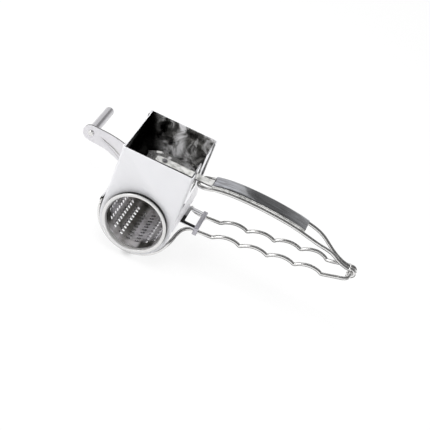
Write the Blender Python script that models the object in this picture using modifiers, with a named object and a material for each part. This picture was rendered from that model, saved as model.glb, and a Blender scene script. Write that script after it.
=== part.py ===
"""Rotary cheese grater with a crank drum, a feed hopper and a hinged pressing handle.

Metres. X runs along the handles, Y from the drum's open mouth to the crank, Z up
through the hopper. The shapes are laid out from the drum's axis, and the last step
moves them so that the origin is the middle of the underside.
"""
import bpy
import bmesh
import math
from mathutils import Vector

# general
SHEET = 0.0008
GAP = 0.0003
WIRE_R = 0.0016

# housing
HOPPER_WIDTH = 0.0624
HOPPER_DEPTH = 0.0705
HOPPER_TOP = 0.062
FLANGE_DEPTH = 0.007
FLARE_TOP = 0.019
FOLD_R = 0.0012
SLOT_WIDTH = 0.016
SLOT_FOOT = 0.0265
WALL_SPREAD = 0.002
TONGUE_REACH = 0.0165
TONGUE_Z = 0.0042
STRAP_WIDTH = 0.0038

# drum
DRUM_BORE_R = 0.025
DRUM_WALL = 0.0006
DRUM_CLEARANCE = 0.006
TOOTH_RISE = 0.0009
TOOTH_WIDTH = 0.0024
TOOTH_ROWS = 20
TEETH_PER_ROW = 10
FIRST_TOOTH = 0.010
PLAIN_BACK = 0.0113
ROW_ANGLE = -112.7
RIM_WIDTH = 0.0033
RIM_DEPTH = 0.004
HUB_R = 0.007
END_DEPTH = 0.0029
AXLE_R = 0.003
DRIVE_HALF = 0.0021

# crank
CRANK_REACH = 0.0768
CRANK_RISE = 4.4
CRANK_SET = 0.0115
CRANK_SHEET = 0.0015
CRANK_EYE_R = 0.0077
CRANK_ROOT_R = 0.0115
RIB_DEPTH = 0.0007
PIN_R = 0.0014
PIN_HEAD_R = 0.0029
PIN_HEAD = 0.0013
PIN_SHORT = 0.004
GRIP_R = 0.0031
GRIP_LENGTH = 0.046

# lower handle
CRADLE_R = 0.0331
CRADLE_INSET = 0.0042
HANDLE_SPREAD = 0.0245
HINGE_X = 0.178
HINGE_Z = 0.0245
BAR_HALF = 0.01085
BAR_SHIFT = -0.0016
BAR_BEND = 0.004
WAVE_START = 0.0627
WAVE_PITCH = 0.0234
WAVE_HEIGHT = 0.004
WAVES = 4
WAVE_FOOT = 0.0035
WAVE_SLOPE = 0.151
RUN_SLOPE = 0.09

# pressing handle
PRESS_HALF_SPREAD = 0.0086
NECK_HALF_SPREAD = 0.0022
PRESS_LOOP_X = 0.0335
PRESS_UNIT = 0.001
PLATE_START = 0.045
PLATE_END = 0.1295
PLATE_HALF_WIDTH = 0.008
PLATE_LIFT = 0.0036
PLATE_CROWN = 0.0006
PLATE_EDGE_WIDTH = 0.0026
PLATE_EDGE_DROP = 0.0022
ARM_WIDTH = 0.0092
ARM_SHEET = 0.0012
ARM_END = 0.068
ARM_Z = 0.0427
FOOT_R = 0.0285
FOOT_SHEET = 0.001
FOOT_TOP = 0.0415
FOOT_LENGTH = 0.030
FOOT_HALF_ANGLE = 36
RIVET_R = 0.0013
RIVET_HEAD_R = 0.0024
RIVET_HEAD = 0.001

HALF_WIDTH = HOPPER_WIDTH / 2
MIDDLE = HOPPER_DEPTH / 2
WALL_IN = HALF_WIDTH - 2 * SHEET - GAP
WALL_FRONT = SHEET + GAP + FOLD_R / 2
WALL_BACK = HOPPER_DEPTH - WALL_FRONT
FLANGE_FOOT = FLARE_TOP + 0.0005
DRUM_OUTER_R = DRUM_BORE_R + DRUM_WALL
DRUM_BACK = HOPPER_DEPTH - DRUM_CLEARANCE
TOOTH_PITCH = (DRUM_BACK - PLAIN_BACK - FIRST_TOOTH) / (TEETH_PER_ROW - 1)
RIM_R = DRUM_BORE_R + RIM_WIDTH
MOUTH_R = DRUM_OUTER_R + TOOTH_RISE + 0.0005
BORE_R = AXLE_R + GAP
HANDLE_FRONT = MIDDLE - HANDLE_SPREAD / 2
HANDLE_REAR = MIDDLE + HANDLE_SPREAD / 2
BAR_FRONT = MIDDLE + BAR_SHIFT - BAR_HALF
BAR_REAR = MIDDLE + BAR_SHIFT + BAR_HALF
TONGUE_WIDTH = HANDLE_SPREAD + 2 * WIRE_R
TONGUE_ROOT = WALL_IN + WALL_SPREAD
TONGUE_TIP = TONGUE_ROOT + FOLD_R + TONGUE_REACH
HOOK_R = 2 * WIRE_R + GAP
BUSH_FACE = HOPPER_DEPTH + GAP + 0.0012
CRANK_FACE = BUSH_FACE + GAP
EYE_FACE = CRANK_FACE + CRANK_SET
CRANK_TURN = math.radians(CRANK_RISE)
EYE_X = -CRANK_REACH * math.cos(CRANK_TURN)
EYE_Z = CRANK_REACH * math.sin(CRANK_TURN)

# height of the pressing handle's wires along X, in units of PRESS_UNIT
PRESS_POINTS = [(33.5, 40.7), (40.0, 41.9), (48.0, 44.3), (58.0, 46.3), (70.0, 47.3), (85.0, 47.6),
                (98.0, 47.2), (110.0, 46.3), (122.0, 44.9), (136.0, 42.3), (145.0, 39.6), (152.0, 36.7),
                (158.0, 33.7), (165.5, 29.7), (171.0, 27.8)]
PRESS_LINE = [(x * PRESS_UNIT, z * PRESS_UNIT) for x, z in PRESS_POINTS]
# and how far they stand from the middle there, as a share of the full spread
SPREAD_POINTS = [(33.5, 0.0), (40.0, 1.0), (129.5, 1.0), (136.5, 1.05), (142.0, 1.0), (147.0, 0.82),
                 (152.5, 0.5), (158.0, 0.27), (163.0, 0.256), (200.0, 0.256)]
PRESS_SPREAD = [(x * PRESS_UNIT, share) for x, share in SPREAD_POINTS]

COLOURS = {
    "hopper_steel": (0.80, 0.80, 0.82),
    "drum_steel": (0.66, 0.66, 0.67),
    "wire_steel": (0.72, 0.72, 0.74),
    "crank_steel": (0.78, 0.78, 0.80),
    "plate_steel": (0.62, 0.63, 0.64),
}


def clear_scene():
    for thing in list(bpy.data.objects):
        bpy.data.objects.remove(thing)


def collection(name):
    made = bpy.data.collections.new(name)
    bpy.context.scene.collection.children.link(made)
    return made


def steel(name):
    found = bpy.data.materials.get(name)
    if found:
        return found
    made = bpy.data.materials.new(name)
    made.use_nodes = True
    shader = made.node_tree.nodes["Principled BSDF"]
    shader.inputs["Base Color"].default_value = (*COLOURS[name], 1)
    shader.inputs["Metallic"].default_value = 1
    shader.inputs["Roughness"].default_value = 0.2
    return made


def place(name, mesh, material, smooth=True):
    """Add a finished mesh as a named sub-part."""
    mesh.materials.clear()
    mesh.materials.append(steel(material))
    for face in mesh.polygons:
        face.use_smooth = smooth
    thing = bpy.data.objects.new(name, mesh)
    GRATER.objects.link(thing)
    return thing


def settled(name, bm):
    """Weld the shape, turn its faces outward and make it a mesh."""
    bmesh.ops.remove_doubles(bm, verts=bm.verts, dist=2e-6)
    bmesh.ops.recalc_face_normals(bm, faces=bm.faces)
    mesh = bpy.data.meshes.new(name)
    bm.to_mesh(mesh)
    bm.free()
    return mesh


def baked(thing):
    """The object's mesh with its modifiers worked out."""
    graph = bpy.context.evaluated_depsgraph_get()
    raw = bpy.data.meshes.new_from_object(thing.evaluated_get(graph))
    bm = bmesh.new()
    bm.from_mesh(raw)
    bpy.data.meshes.remove(raw)
    return settled(thing.name, bm)


def rebake(thing):
    old = thing.data
    mesh = baked(thing)
    mesh.materials.clear()
    mesh.materials.append(old.materials[0])
    thing.modifiers.clear()
    thing.data = mesh
    bpy.data.meshes.remove(old)
    return thing


def combine(thing, other, operation):
    """Cut one solid by another or unite the two, and drop the second."""
    GRATER.objects.unlink(other)
    CUTTERS.objects.link(other)
    other.hide_render = True
    other.display_type = "WIRE"
    change = thing.modifiers.new(operation.lower(), "BOOLEAN")
    change.operation = operation
    change.solver = "EXACT"
    change.object = other
    rebake(thing)
    bpy.data.objects.remove(other)
    return thing


def sheet(name, material, us, vs, shape, thickness=SHEET, keep=None):
    """Press a flat grid, with lines at us and vs, into shape(u, v) and thicken it."""
    across, along_count = len(us) - 1, len(vs) - 1
    bm = bmesh.new()
    bmesh.ops.create_grid(bm, x_segments=across, y_segments=along_count, size=0.5)
    if keep:
        gone = []
        for face in bm.faces:
            middle = face.calc_center_median()
            i = int((middle.x + 0.5) * across)
            j = int((middle.y + 0.5) * along_count)
            if not keep((us[i] + us[i + 1]) / 2, (vs[j] + vs[j + 1]) / 2):
                gone.append(face)
        bmesh.ops.delete(bm, geom=gone, context="FACES")
    for vert in bm.verts:
        i = round((vert.co.x + 0.5) * across)
        j = round((vert.co.y + 0.5) * along_count)
        vert.co = Vector(shape(us[i], vs[j]))
    bmesh.ops.remove_doubles(bm, verts=bm.verts, dist=2e-6)
    mesh = bpy.data.meshes.new(name)
    bm.to_mesh(mesh)
    bm.free()
    thing = place(name, mesh, material)
    thick = thing.modifiers.new("thickness", "SOLIDIFY")
    thick.thickness = thickness
    thick.offset = 1
    thick.use_even_offset = True
    return rebake(thing)


def turned(name, material, profile, steps=40, centre=(0, 0)):
    """Turn a closed outline of (radius, y) points round a line along Y."""
    bm = bmesh.new()
    verts = [bm.verts.new((r, y, 0)) for r, y in profile]
    for a, b in zip(verts, verts[1:] + verts[:1]):
        if max(abs(a.co.x), abs(b.co.x)) > 1e-9:
            bm.edges.new((a, b))
    bmesh.ops.spin(bm, geom=bm.verts[:] + bm.edges[:], cent=(0, 0, 0), axis=(0, 1, 0),
                   angle=2 * math.pi, steps=steps, use_merge=True, use_duplicate=False)
    bmesh.ops.translate(bm, verts=bm.verts, vec=(centre[0], 0, centre[1]))
    return place(name, settled(name, bm), material)


def rod(name, radius, y0, y1, centre=(0, 0), steps=40):
    return turned(name, "wire_steel", [(0, y0), (radius, y0), (radius, y1), (0, y1)], steps, centre)


def slab(name, material, outline, step, turn=lambda a, b, c: (a, b, c)):
    """Extrude an outline of (x, z) points from one depth to another."""
    bm = bmesh.new()
    y0, y1 = step
    face = bm.faces.new([bm.verts.new(turn(x, y0, z)) for x, z in outline])
    grown = bmesh.ops.extrude_face_region(bm, geom=[face])
    moved = [g for g in grown["geom"] if isinstance(g, bmesh.types.BMVert)]
    bmesh.ops.translate(bm, verts=moved, vec=turn(0, y1 - y0, 0))
    return place(name, settled(name, bm), material, smooth=False)


def block(name, half, y0, y1):
    outline = [(-half, -half), (half, -half), (half, half), (-half, half)]
    return slab(name, "wire_steel", outline, (y0, y1))


def wire(name, material, points, radius, closed=False):
    """Bend a round wire along a path."""
    curve = bpy.data.curves.new(name, "CURVE")
    curve.dimensions = "3D"
    curve.bevel_depth = radius
    curve.bevel_resolution = 2
    curve.use_fill_caps = not closed
    spline = curve.splines.new("POLY")
    spline.points.add(len(points) - 1)
    for spot, point in zip(spline.points, points):
        spot.co = (*point, 1)
    spline.use_cyclic_u = closed
    path = bpy.data.objects.new(name + "_path", curve)
    CUTTERS.objects.link(path)
    mesh = baked(path)
    bpy.data.objects.remove(path)
    return place(name, mesh, material)


def smooth_path(points, step, closed=False):
    """A rounded path through the given points."""
    points = [Vector(p) for p in points]
    count = len(points)
    path = []
    for i in range(count if closed else count - 1):
        near = [points[(i + k) % count] if closed else points[min(max(i + k, 0), count - 1)]
                for k in (-1, 0, 1, 2)]
        pieces = max(1, round((near[2] - near[1]).length / step))
        for k in range(pieces):
            path.append(spline_point(near, k / pieces))
    if not closed:
        path.append(points[-1])
    return path


def spline_point(near, t):
    a, b, c, d = near
    return 0.5 * (2 * b + (c - a) * t + (2 * a - 5 * b + 4 * c - d) * t * t
                  + (3 * b - a - 3 * c + d) * t ** 3)


def arc(cx, cz, radius, start, end, count):
    turns = [math.radians(start + (end - start) * i / count) for i in range(count + 1)]
    return [(cx + radius * math.cos(a), cz + radius * math.sin(a)) for a in turns]


def read(table, x):
    """Read a value off a list of (x, value) points."""
    for (x0, v0), (x1, v1) in zip(table, table[1:]):
        if x <= x1:
            t = max(0.0, (x - x0) / (x1 - x0))
            return v0 + (v1 - v0) * t
    return table[-1][1]


def eased(t):
    t = min(max(t, 0), 1)
    return t * t * (3 - 2 * t)


def stations(line):
    """How far along a line of points each of its corners lies."""
    marks = [0]
    for a, b in zip(line, line[1:]):
        marks.append(marks[-1] + math.dist(a, b))
    return marks


def along(line, marks, s):
    for a, b, s0, s1 in zip(line, line[1:], marks, marks[1:]):
        if s <= s1 + 1e-9:
            t = (s - s0) / (s1 - s0)
            return a[0] + (b[0] - a[0]) * t, a[1] + (b[1] - a[1]) * t
    return line[-1]


# housing

def end_plate(name, face_y, inward, hole_r):
    """A plate with a round foot, folded edges beside the hopper and a round hole."""
    low = arc(0, 0, HALF_WIDTH, 180, 360, 40)
    outline = low + [(HALF_WIDTH, FLANGE_FOOT), (-HALF_WIDTH, FLANGE_FOOT)]
    plate = slab(name, "hopper_steel", outline, (face_y, face_y + inward * SHEET))
    combine(plate, folded_part(name + "_fold", face_y, inward), "UNION")
    hole = rod(name + "_hole", hole_r, face_y - 0.01, face_y + 0.01, steps=52)
    return combine(plate, hole, "DIFFERENCE")


def folded_part(name, face_y, inward):
    """The upper part of an end plate, with both edges folded back along the sides."""
    turn = FOLD_R + SHEET
    outer = [(HALF_WIDTH - x, y) for x, y in arc(turn, turn, turn, 270, 180, 5)]
    inner = [(HALF_WIDTH - x, y) for x, y in arc(FOLD_R + SHEET, FOLD_R + SHEET, FOLD_R, 270, 180, 5)]
    right = outer + [(HALF_WIDTH, FLANGE_DEPTH), (HALF_WIDTH - SHEET, FLANGE_DEPTH)] + inner[::-1]
    left = [(-x, y) for x, y in right[::-1]]
    ring = [(x, face_y + inward * y) for x, y in right + left]
    return slab(name, "hopper_steel", ring, (FLANGE_FOOT, HOPPER_TOP), turn=lambda a, b, c: (a, c, b))


def left_wall():
    """The left side: straight, flared out, and hooked under the frame's cross wire."""
    reach = WIRE_R + GAP
    run = CRADLE_R - WALL_IN
    meet = math.degrees(math.atan2(FLARE_TOP, run) + math.acos(reach / math.hypot(run, FLARE_TOP)))
    line = [(-WALL_IN, HOPPER_TOP), (-WALL_IN, FLARE_TOP)] + arc(-CRADLE_R, 0, reach, meet, 325, 10)
    marks = stations(line)
    plain_end = marks[1] + (marks[2] - marks[1]) * 0.62
    vs = [marks[0], marks[1] / 3, marks[1] * 2 / 3, marks[1], plain_end] + marks[2:]
    hook_front = CRADLE_INSET + BAR_BEND + 0.0005
    hook_back = HOPPER_DEPTH - hook_front
    us = [WALL_FRONT, hook_front, MIDDLE - 0.012, MIDDLE, MIDDLE + 0.012, hook_back, WALL_BACK]

    def shape(y, s):
        x, z = along(line, marks, s)
        return x, y, z

    def keep(y, s):
        return s < plain_end or hook_front < y < hook_back

    return sheet("left_wall", "hopper_steel", us, vs, shape, SHEET, keep)


def right_wall():
    """The right side, slotted for the pressing arm, with a window tongue over the wires."""
    fold = arc(TONGUE_ROOT + FOLD_R, TONGUE_Z + FOLD_R, FOLD_R, 180, 270, 5)
    line = [(WALL_IN, HOPPER_TOP), (WALL_IN, FLARE_TOP)] + fold + [(TONGUE_TIP, TONGUE_Z)]
    marks = stations(line)
    slot_end = HOPPER_TOP - SLOT_FOOT
    tongue = marks[2]
    window = (marks[-2] + 0.0026, marks[-2] + TONGUE_REACH - 0.003)
    half_tongue = TONGUE_WIDTH / 2
    half_window = half_tongue - 0.0042
    half_slot = SLOT_WIDTH / 2
    vs = [0, slot_end / 2, slot_end - 0.003, slot_end, marks[1]] + marks[2:-1]
    vs += [window[0], (window[0] + window[1]) / 2, window[1], marks[-1]]
    offs = [half_slot - 0.0015, half_slot, half_window, half_tongue]
    middle = [MIDDLE - o for o in offs[::-1]] + [MIDDLE] + [MIDDLE + o for o in offs]
    us = [WALL_FRONT] + middle + [WALL_BACK]

    def shape(y, s):
        x, z = along(line, marks, s)
        return x, y, z

    def keep(y, s):
        off = abs(y - MIDDLE)
        if s < slot_end:
            return off > half_slot
        if s > tongue:
            return off < half_tongue and not (window[0] < s < window[1] and off < half_window)
        return True

    return sheet("right_wall", "hopper_steel", us, vs, shape, -SHEET, keep)


def wire_clamp():
    """The strap across the tongue's end, turned down and in under both wires."""
    x0 = TONGUE_TIP - STRAP_WIDTH
    top = TONGUE_Z + SHEET + GAP
    low = run_height(x0) - WIRE_R - GAP
    front = MIDDLE - TONGUE_WIDTH / 2 - GAP
    rear = MIDDLE + TONGUE_WIDTH / 2 + GAP
    lip = 0.0026
    line = [(front + lip, low), (front, low), (front, top), (rear, top), (rear, low), (rear - lip, low)]
    marks = stations(line)

    def shape(x, s):
        y, z = along(line, marks, s)
        return x, y, z

    return sheet("wire_clamp", "wire_steel", [x0, (x0 + TONGUE_TIP) / 2, TONGUE_TIP], marks, shape, SHEET)


# lower handle

def run_height(x):
    return WAVE_FOOT + (x - WAVE_START) * RUN_SLOPE


def wave_height(x):
    """Height of the lower handle's wire at x, with its finger waves."""
    end = WAVE_START + WAVES * WAVE_PITCH
    if x < WAVE_START:
        return run_height(x)
    if x > end:
        foot = WAVE_FOOT + WAVE_SLOPE * (end - WAVE_START)
        return foot + (HINGE_Z - foot) * (x - end) / (HINGE_X - end)
    share = ((x - WAVE_START) % WAVE_PITCH) / WAVE_PITCH
    return WAVE_FOOT + WAVE_SLOPE * (x - WAVE_START) + WAVE_HEIGHT * math.sin(math.pi * share) ** 0.7


def cradle_run(rim_y, run_y, side):
    """The half loop of wire under one end of the drum, on to where the handle starts."""
    points = [(x, rim_y, z) for x, z in arc(0, 0, CRADLE_R, 188, 343, 15)]
    points.append((CRADLE_R + 0.0003, rim_y + side * 0.0030, -0.0052))
    points.append((CRADLE_R + 0.0016, rim_y + side * 0.0085, -0.0021))
    points.append((CRADLE_R + 0.0043, run_y - side * 0.0038, 0.0004))
    points.append((CRADLE_R + 0.0082, run_y - side * 0.0007, run_height(CRADLE_R + 0.0082)))
    return points


def handle_side(run_y, end_y):
    start = CRADLE_R + 0.0125
    stop = HINGE_X - 0.009
    steps = round((stop - start) / 0.0032)
    points = []
    for i in range(steps + 1):
        x = start + (stop - start) * i / steps
        y = run_y + (end_y - run_y) * eased((x - HINGE_X + 0.032) / 0.018)
        points.append((x, y, wave_height(x)))
    return points


def lower_frame():
    """One closed loop of wire: cross wire, two cradles, waved handle and hinge bar."""
    rear_rim = HOPPER_DEPTH - CRADLE_INSET
    front = cradle_run(CRADLE_INSET, HANDLE_FRONT, 1) + handle_side(HANDLE_FRONT, BAR_FRONT)
    rear = cradle_run(rear_rim, HANDLE_REAR, -1) + handle_side(HANDLE_REAR, BAR_REAR)
    near = [(HINGE_X - BAR_BEND, BAR_FRONT, wave_height(HINGE_X - BAR_BEND)),
            (HINGE_X - BAR_BEND * 0.3, BAR_FRONT + BAR_BEND * 0.3, HINGE_Z - 0.0003),
            (HINGE_X, BAR_FRONT + BAR_BEND, HINGE_Z)]
    far = [(x, BAR_FRONT + BAR_REAR - y, z) for x, y, z in near[::-1]]
    lead = BAR_BEND + 0.0002
    left = [(-CRADLE_R, rear_rim - lead, 0), (-CRADLE_R, MIDDLE, 0), (-CRADLE_R, CRADLE_INSET + lead, 0)]
    loop = left + [(-CRADLE_R, CRADLE_INSET + 0.0012, -0.0013)] + front + near
    loop += far + rear[::-1] + [(-CRADLE_R, rear_rim - 0.0012, -0.0013)]
    return wire("lower_frame", "wire_steel", smooth_path(loop, 0.0045, closed=True), WIRE_R, closed=True)


# drum

def drum_shell():
    """A thin tube pressed into rows of outward teeth, each open in front of its edge."""
    pitch = 360 / TOOTH_ROWS
    us = []
    for row in range(TOOTH_ROWS):
        start = ROW_ANGLE + (row - 0.5) * pitch
        us += [start + 0.24 * pitch, start + 0.46 * pitch, start + 0.74 * pitch]
    us.append(us[0] + 360)
    seam = us[0] - 0.24 * pitch
    half = TOOTH_WIDTH / 2
    last = FIRST_TOOTH + (TEETH_PER_ROW - 1) * TOOTH_PITCH
    vs = [GAP]
    for i in range(TEETH_PER_ROW):
        y = FIRST_TOOTH + i * TOOTH_PITCH
        vs += [y - half, y, y + half]
    vs.append(DRUM_BACK)

    def in_row(angle):
        return ((angle - seam) % pitch) / pitch

    def off_tooth(y):
        return (y - FIRST_TOOTH + TOOTH_PITCH / 2) % TOOTH_PITCH - TOOTH_PITCH / 2

    def shape(angle, y):
        line = round(in_row(angle), 2)
        off = off_tooth(y)
        on_tooth = FIRST_TOOTH - TOOTH_WIDTH < y < last + TOOTH_WIDTH
        radius = DRUM_BORE_R
        if on_tooth and line == 0.46 and abs(off) < half / 2:
            radius += TOOTH_RISE
        if on_tooth and line == 0.24:
            y -= off
        if on_tooth and line == 0.74 and abs(off) < half / 2:
            y -= half
        turn = math.radians(angle)
        return radius * math.cos(turn), y, radius * math.sin(turn)

    def keep(angle, y):
        in_hole = 0.46 < in_row(angle) < 0.74 and abs(off_tooth(y)) < half
        return not (in_hole and FIRST_TOOTH - half < y < last + half)

    return sheet("drum_shell", "drum_steel", us, vs, shape, -DRUM_WALL, keep)


def drum_rim():
    """The rolled ring at the drum's mouth that rests on the front plate."""
    front = -RIM_DEPTH
    back = -GAP
    roll = RIM_WIDTH / 3
    profile = [(DRUM_BORE_R, back), (DRUM_BORE_R, front + roll),
               (DRUM_BORE_R + roll * 0.4, front + roll * 0.25), (DRUM_BORE_R + roll * 1.1, front),
               (RIM_R - roll, front), (RIM_R - roll * 0.25, front + roll * 0.35),
               (RIM_R, front + roll * 1.1), (RIM_R, back)]
    return turned("drum_rim", "drum_steel", profile, 48)


def drum_end():
    """The dished disc that closes the back of the drum."""
    face = DRUM_BACK - END_DEPTH
    inner = HUB_R + GAP
    outer = DRUM_BORE_R - GAP
    bend = SHEET * 1.5
    profile = [(inner, face), (outer - SHEET, face), (outer, face + SHEET), (outer, DRUM_BACK - GAP),
               (outer - SHEET, DRUM_BACK - GAP), (outer - SHEET, face + bend),
               (outer - bend, face + SHEET), (inner, face + SHEET)]
    return turned("drum_end", "drum_steel", profile, 40)


def drum_hub():
    front = DRUM_BACK - 0.005
    back = DRUM_BACK + 0.002
    profile = [(0, front), (HUB_R - 0.001, front), (HUB_R, front + 0.001), (HUB_R, back - 0.001),
               (HUB_R - 0.001, back), (0, back)]
    hub = turned("drum_hub", "drum_steel", profile, 24)
    socket = block("drum_hub_socket", DRIVE_HALF + GAP, front - 0.01, back + 0.01)
    return combine(hub, socket, "DIFFERENCE")


# crank

def axle():
    """A round shaft through the back plate with a square drive for the drum."""
    start = DRUM_BACK + 0.0026
    end = CRANK_FACE + CRANK_SHEET + 0.0028
    shaft = turned("axle", "wire_steel", [(0, start), (AXLE_R, start), (AXLE_R, end), (0, end)], 32)
    drive = block("axle_drive", DRIVE_HALF, DRUM_BACK - 0.0062, start + 0.001)
    return combine(shaft, drive, "UNION")


def axle_bush():
    """The flanged bush in the back plate."""
    inner = DRUM_BACK + 0.0043
    sleeve = BORE_R + 0.0012
    flange = HOPPER_DEPTH + GAP
    profile = [(BORE_R, inner), (sleeve, inner), (sleeve, flange), (0.0085, flange),
               (0.0085, BUSH_FACE - 0.0004), (0.0081, BUSH_FACE), (BORE_R, BUSH_FACE)]
    return turned("axle_bush", "crank_steel", profile, 28)


def axle_washer():
    front = DRUM_BACK + 0.0029
    profile = [(BORE_R, front), (0.0065, front), (0.0065, front + 0.001), (BORE_R, front + 0.001)]
    return turned("axle_washer", "crank_steel", profile, 24)


def crank_half_width(s):
    if s < 0:
        return math.sqrt(max(CRANK_ROOT_R ** 2 - s * s, 1e-7))
    if s > CRANK_REACH:
        return math.sqrt(max(CRANK_EYE_R ** 2 - (s - CRANK_REACH) ** 2, 1e-7))
    return CRANK_ROOT_R + (CRANK_EYE_R - CRANK_ROOT_R) * s / CRANK_REACH


def crank_arm():
    """A tapered strip, set back towards the grip, with a wedge pressed into its middle."""
    ends = [math.sin(math.radians(a)) for a in (-89, -72, -52, -30)]
    vs = [CRANK_ROOT_R * e for e in ends] + [0, 0.006, 0.011, 0.0145]
    vs += [0.0145 + (CRANK_REACH - 0.0275) * i / 7 for i in range(1, 8)]
    vs += [CRANK_REACH - 0.0095, CRANK_REACH - 0.0065, CRANK_REACH]
    vs += [CRANK_REACH - CRANK_EYE_R * e for e in ends[::-1]]
    us = [-1, -0.72, -0.5, -0.34, 0, 0.34, 0.5, 0.72, 1]
    tip = CRANK_REACH - 0.0095
    root = 0.0145

    def shape(u, s):
        w = crank_half_width(s) * u
        x = -s * math.cos(CRANK_TURN) + w * math.sin(CRANK_TURN)
        z = s * math.sin(CRANK_TURN) + w * math.cos(CRANK_TURN)
        y = CRANK_FACE + CRANK_SET * eased((s - 0.012) / (CRANK_REACH - 0.024))
        if root < s < tip:
            reach = min(0.55, (tip - s) / (tip - root) * 1.6)
            if abs(u) < reach:
                y -= RIB_DEPTH
        return x, y, z

    arm = sheet("crank_arm", "crank_steel", us, vs, shape, -CRANK_SHEET)
    combine(arm, rod("crank_arm_hole", BORE_R, CRANK_FACE - 0.01, CRANK_FACE + 0.01, steps=28), "DIFFERENCE")
    eye = rod("crank_eye_hole", PIN_R + GAP, EYE_FACE - 0.01, EYE_FACE + 0.01, (EYE_X, EYE_Z), 20)
    return combine(arm, eye, "DIFFERENCE")


def crank_nut():
    """The domed nut that holds the crank arm on the axle."""
    face = CRANK_FACE + CRANK_SHEET + GAP
    bore_end = face + 0.0031
    profile = [(BORE_R, face), (0.0056, face), (0.0056, face + 0.003), (0.0048, face + 0.0042),
               (0.003, face + 0.0051), (0, face + 0.0054), (0, bore_end), (BORE_R, bore_end)]
    return turned("crank_nut", "crank_steel", profile, 28)


def grip_pin():
    """The rivet that carries the grip, its head on the near face of the arm."""
    head = EYE_FACE - GAP
    end = EYE_FACE + CRANK_SHEET + GRIP_LENGTH - PIN_SHORT
    profile = [(0, head - PIN_HEAD), (PIN_HEAD_R * 0.55, head - PIN_HEAD * 0.85),
               (PIN_HEAD_R * 0.93, head - PIN_HEAD * 0.3), (PIN_HEAD_R, head),
               (PIN_R, head), (PIN_R, end), (0, end)]
    return turned("grip_pin", "wire_steel", profile, 20, (EYE_X, EYE_Z))


def crank_grip():
    """The plain round grip that turns on its pin."""
    near = EYE_FACE + CRANK_SHEET + GAP
    far = near + GRIP_LENGTH
    bore = PIN_R + GAP
    blind = far - 0.0025
    profile = [(bore, near), (GRIP_R, near), (GRIP_R, far - 0.0024), (GRIP_R - 0.0005, far - 0.0011),
               (GRIP_R - 0.0014, far - 0.0003), (0, far), (0, blind), (bore, blind)]
    return turned("crank_grip", "crank_steel", profile, 24, (EYE_X, EYE_Z))


# pressing handle

def press_height(x):
    return read(PRESS_LINE, x)


def press_side(side):
    """One wire of the pressing handle, from its end loop to the hook on the bar."""
    points = []
    for x, z in PRESS_LINE[1:]:
        off = PRESS_HALF_SPREAD * read(PRESS_SPREAD, x)
        points.append((x, MIDDLE + side * max(off, NECK_HALF_SPREAD), z))
    y = MIDDLE + side * NECK_HALF_SPREAD
    points += [(x, y, z) for x, z in arc(HINGE_X, HINGE_Z, HOOK_R, 128, -130, 12)]
    return points


def press_wire():
    """One wire: two runs joined by a loop by the hopper, each ending in a hook."""
    x, y, z = PRESS_LOOP_X, PRESS_HALF_SPREAD, PRESS_LINE[0][1]
    loop = [(x + 0.0022, MIDDLE + y * 0.86, z + 0.0004), (x + 0.0004, MIDDLE + y * 0.45, z),
            (x + 0.0004, MIDDLE - y * 0.45, z), (x + 0.0022, MIDDLE - y * 0.86, z + 0.0004)]
    points = press_side(1)[::-1] + loop + press_side(-1)
    return wire("press_wire", "wire_steel", smooth_path(points, 0.005), WIRE_R)


def plate_height(x):
    """Underside of the thumb plate's middle at x."""
    return press_height(x) + PLATE_LIFT - SHEET


def thumb_plate():
    """The long plate under the thumb, its edges turned down over the wires."""
    count = 12
    us = [PLATE_START + (PLATE_END - PLATE_START) * i / count for i in range(count + 1)]
    half = PLATE_HALF_WIDTH
    side = [(half + PLATE_EDGE_WIDTH * wide, -PLATE_EDGE_DROP * low)
            for wide, low in ((0, 0), (0.385, 0.136), (0.77, 0.545), (1, 1))]
    line = [(-y, z) for y, z in side[::-1]]
    line += [(-half / 2, PLATE_CROWN * 0.8), (0, PLATE_CROWN), (half / 2, PLATE_CROWN * 0.8)] + side
    marks = stations(line)

    def shape(x, s):
        off, up = along(line, marks, s)
        return x, MIDDLE + off, plate_height(x) + up

    return sheet("thumb_plate", "plate_steel", us, marks, shape, SHEET)


def arm_under(x):
    """Underside of the arm where it lies against the thumb plate."""
    return plate_height(x) + PLATE_CROWN * 0.5 - GAP - ARM_SHEET


def press_arm():
    """The flat arm from the thumb plate through the wall's slot to the foot."""
    line = [(-0.0075, ARM_Z - 0.0003), (0.014, ARM_Z), (0.030, ARM_Z), (PLATE_START, ARM_Z)]
    line += [(PLATE_START + 0.0075, arm_under(PLATE_START + 0.0075) - 0.0008)]
    line += [(x, arm_under(x)) for x in (ARM_END - 0.011, ARM_END - 0.006, ARM_END)]
    half = ARM_WIDTH / 2
    us = [line[0][0]] + [line[0][0] + 0.0011, line[0][0] + 0.0032] + [p[0] for p in line[1:-1]]
    us += [ARM_END - 0.0032, ARM_END - 0.0011, ARM_END]

    def shape(x, v):
        near_end = min(x - us[0], ARM_END - x)
        narrow = 0.45 if near_end < 1e-6 else 0.82 if near_end < 0.0015 else 1
        z = read(line, x)
        return x, MIDDLE + v * half * narrow, z

    arm = sheet("press_arm", "plate_steel", us, [-1, -0.5, 0, 0.5, 1], shape, ARM_SHEET)
    for name, x in (("arm_hole_foot", 0.0), ("arm_hole_plate", ARM_END - 0.004)):
        combine(arm, drill(name, x, 0.03, 0.06), "DIFFERENCE")
    return arm


def drill(name, x, low, high):
    """A cutter for a rivet hole standing along Z."""
    bm = bmesh.new()
    bmesh.ops.create_cone(bm, cap_ends=True, segments=16, radius1=RIVET_R + GAP, radius2=RIVET_R + GAP,
                          depth=high - low)
    bmesh.ops.translate(bm, verts=bm.verts, vec=(x, MIDDLE, (low + high) / 2))
    return place(name, settled(name, bm), "wire_steel")


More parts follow.
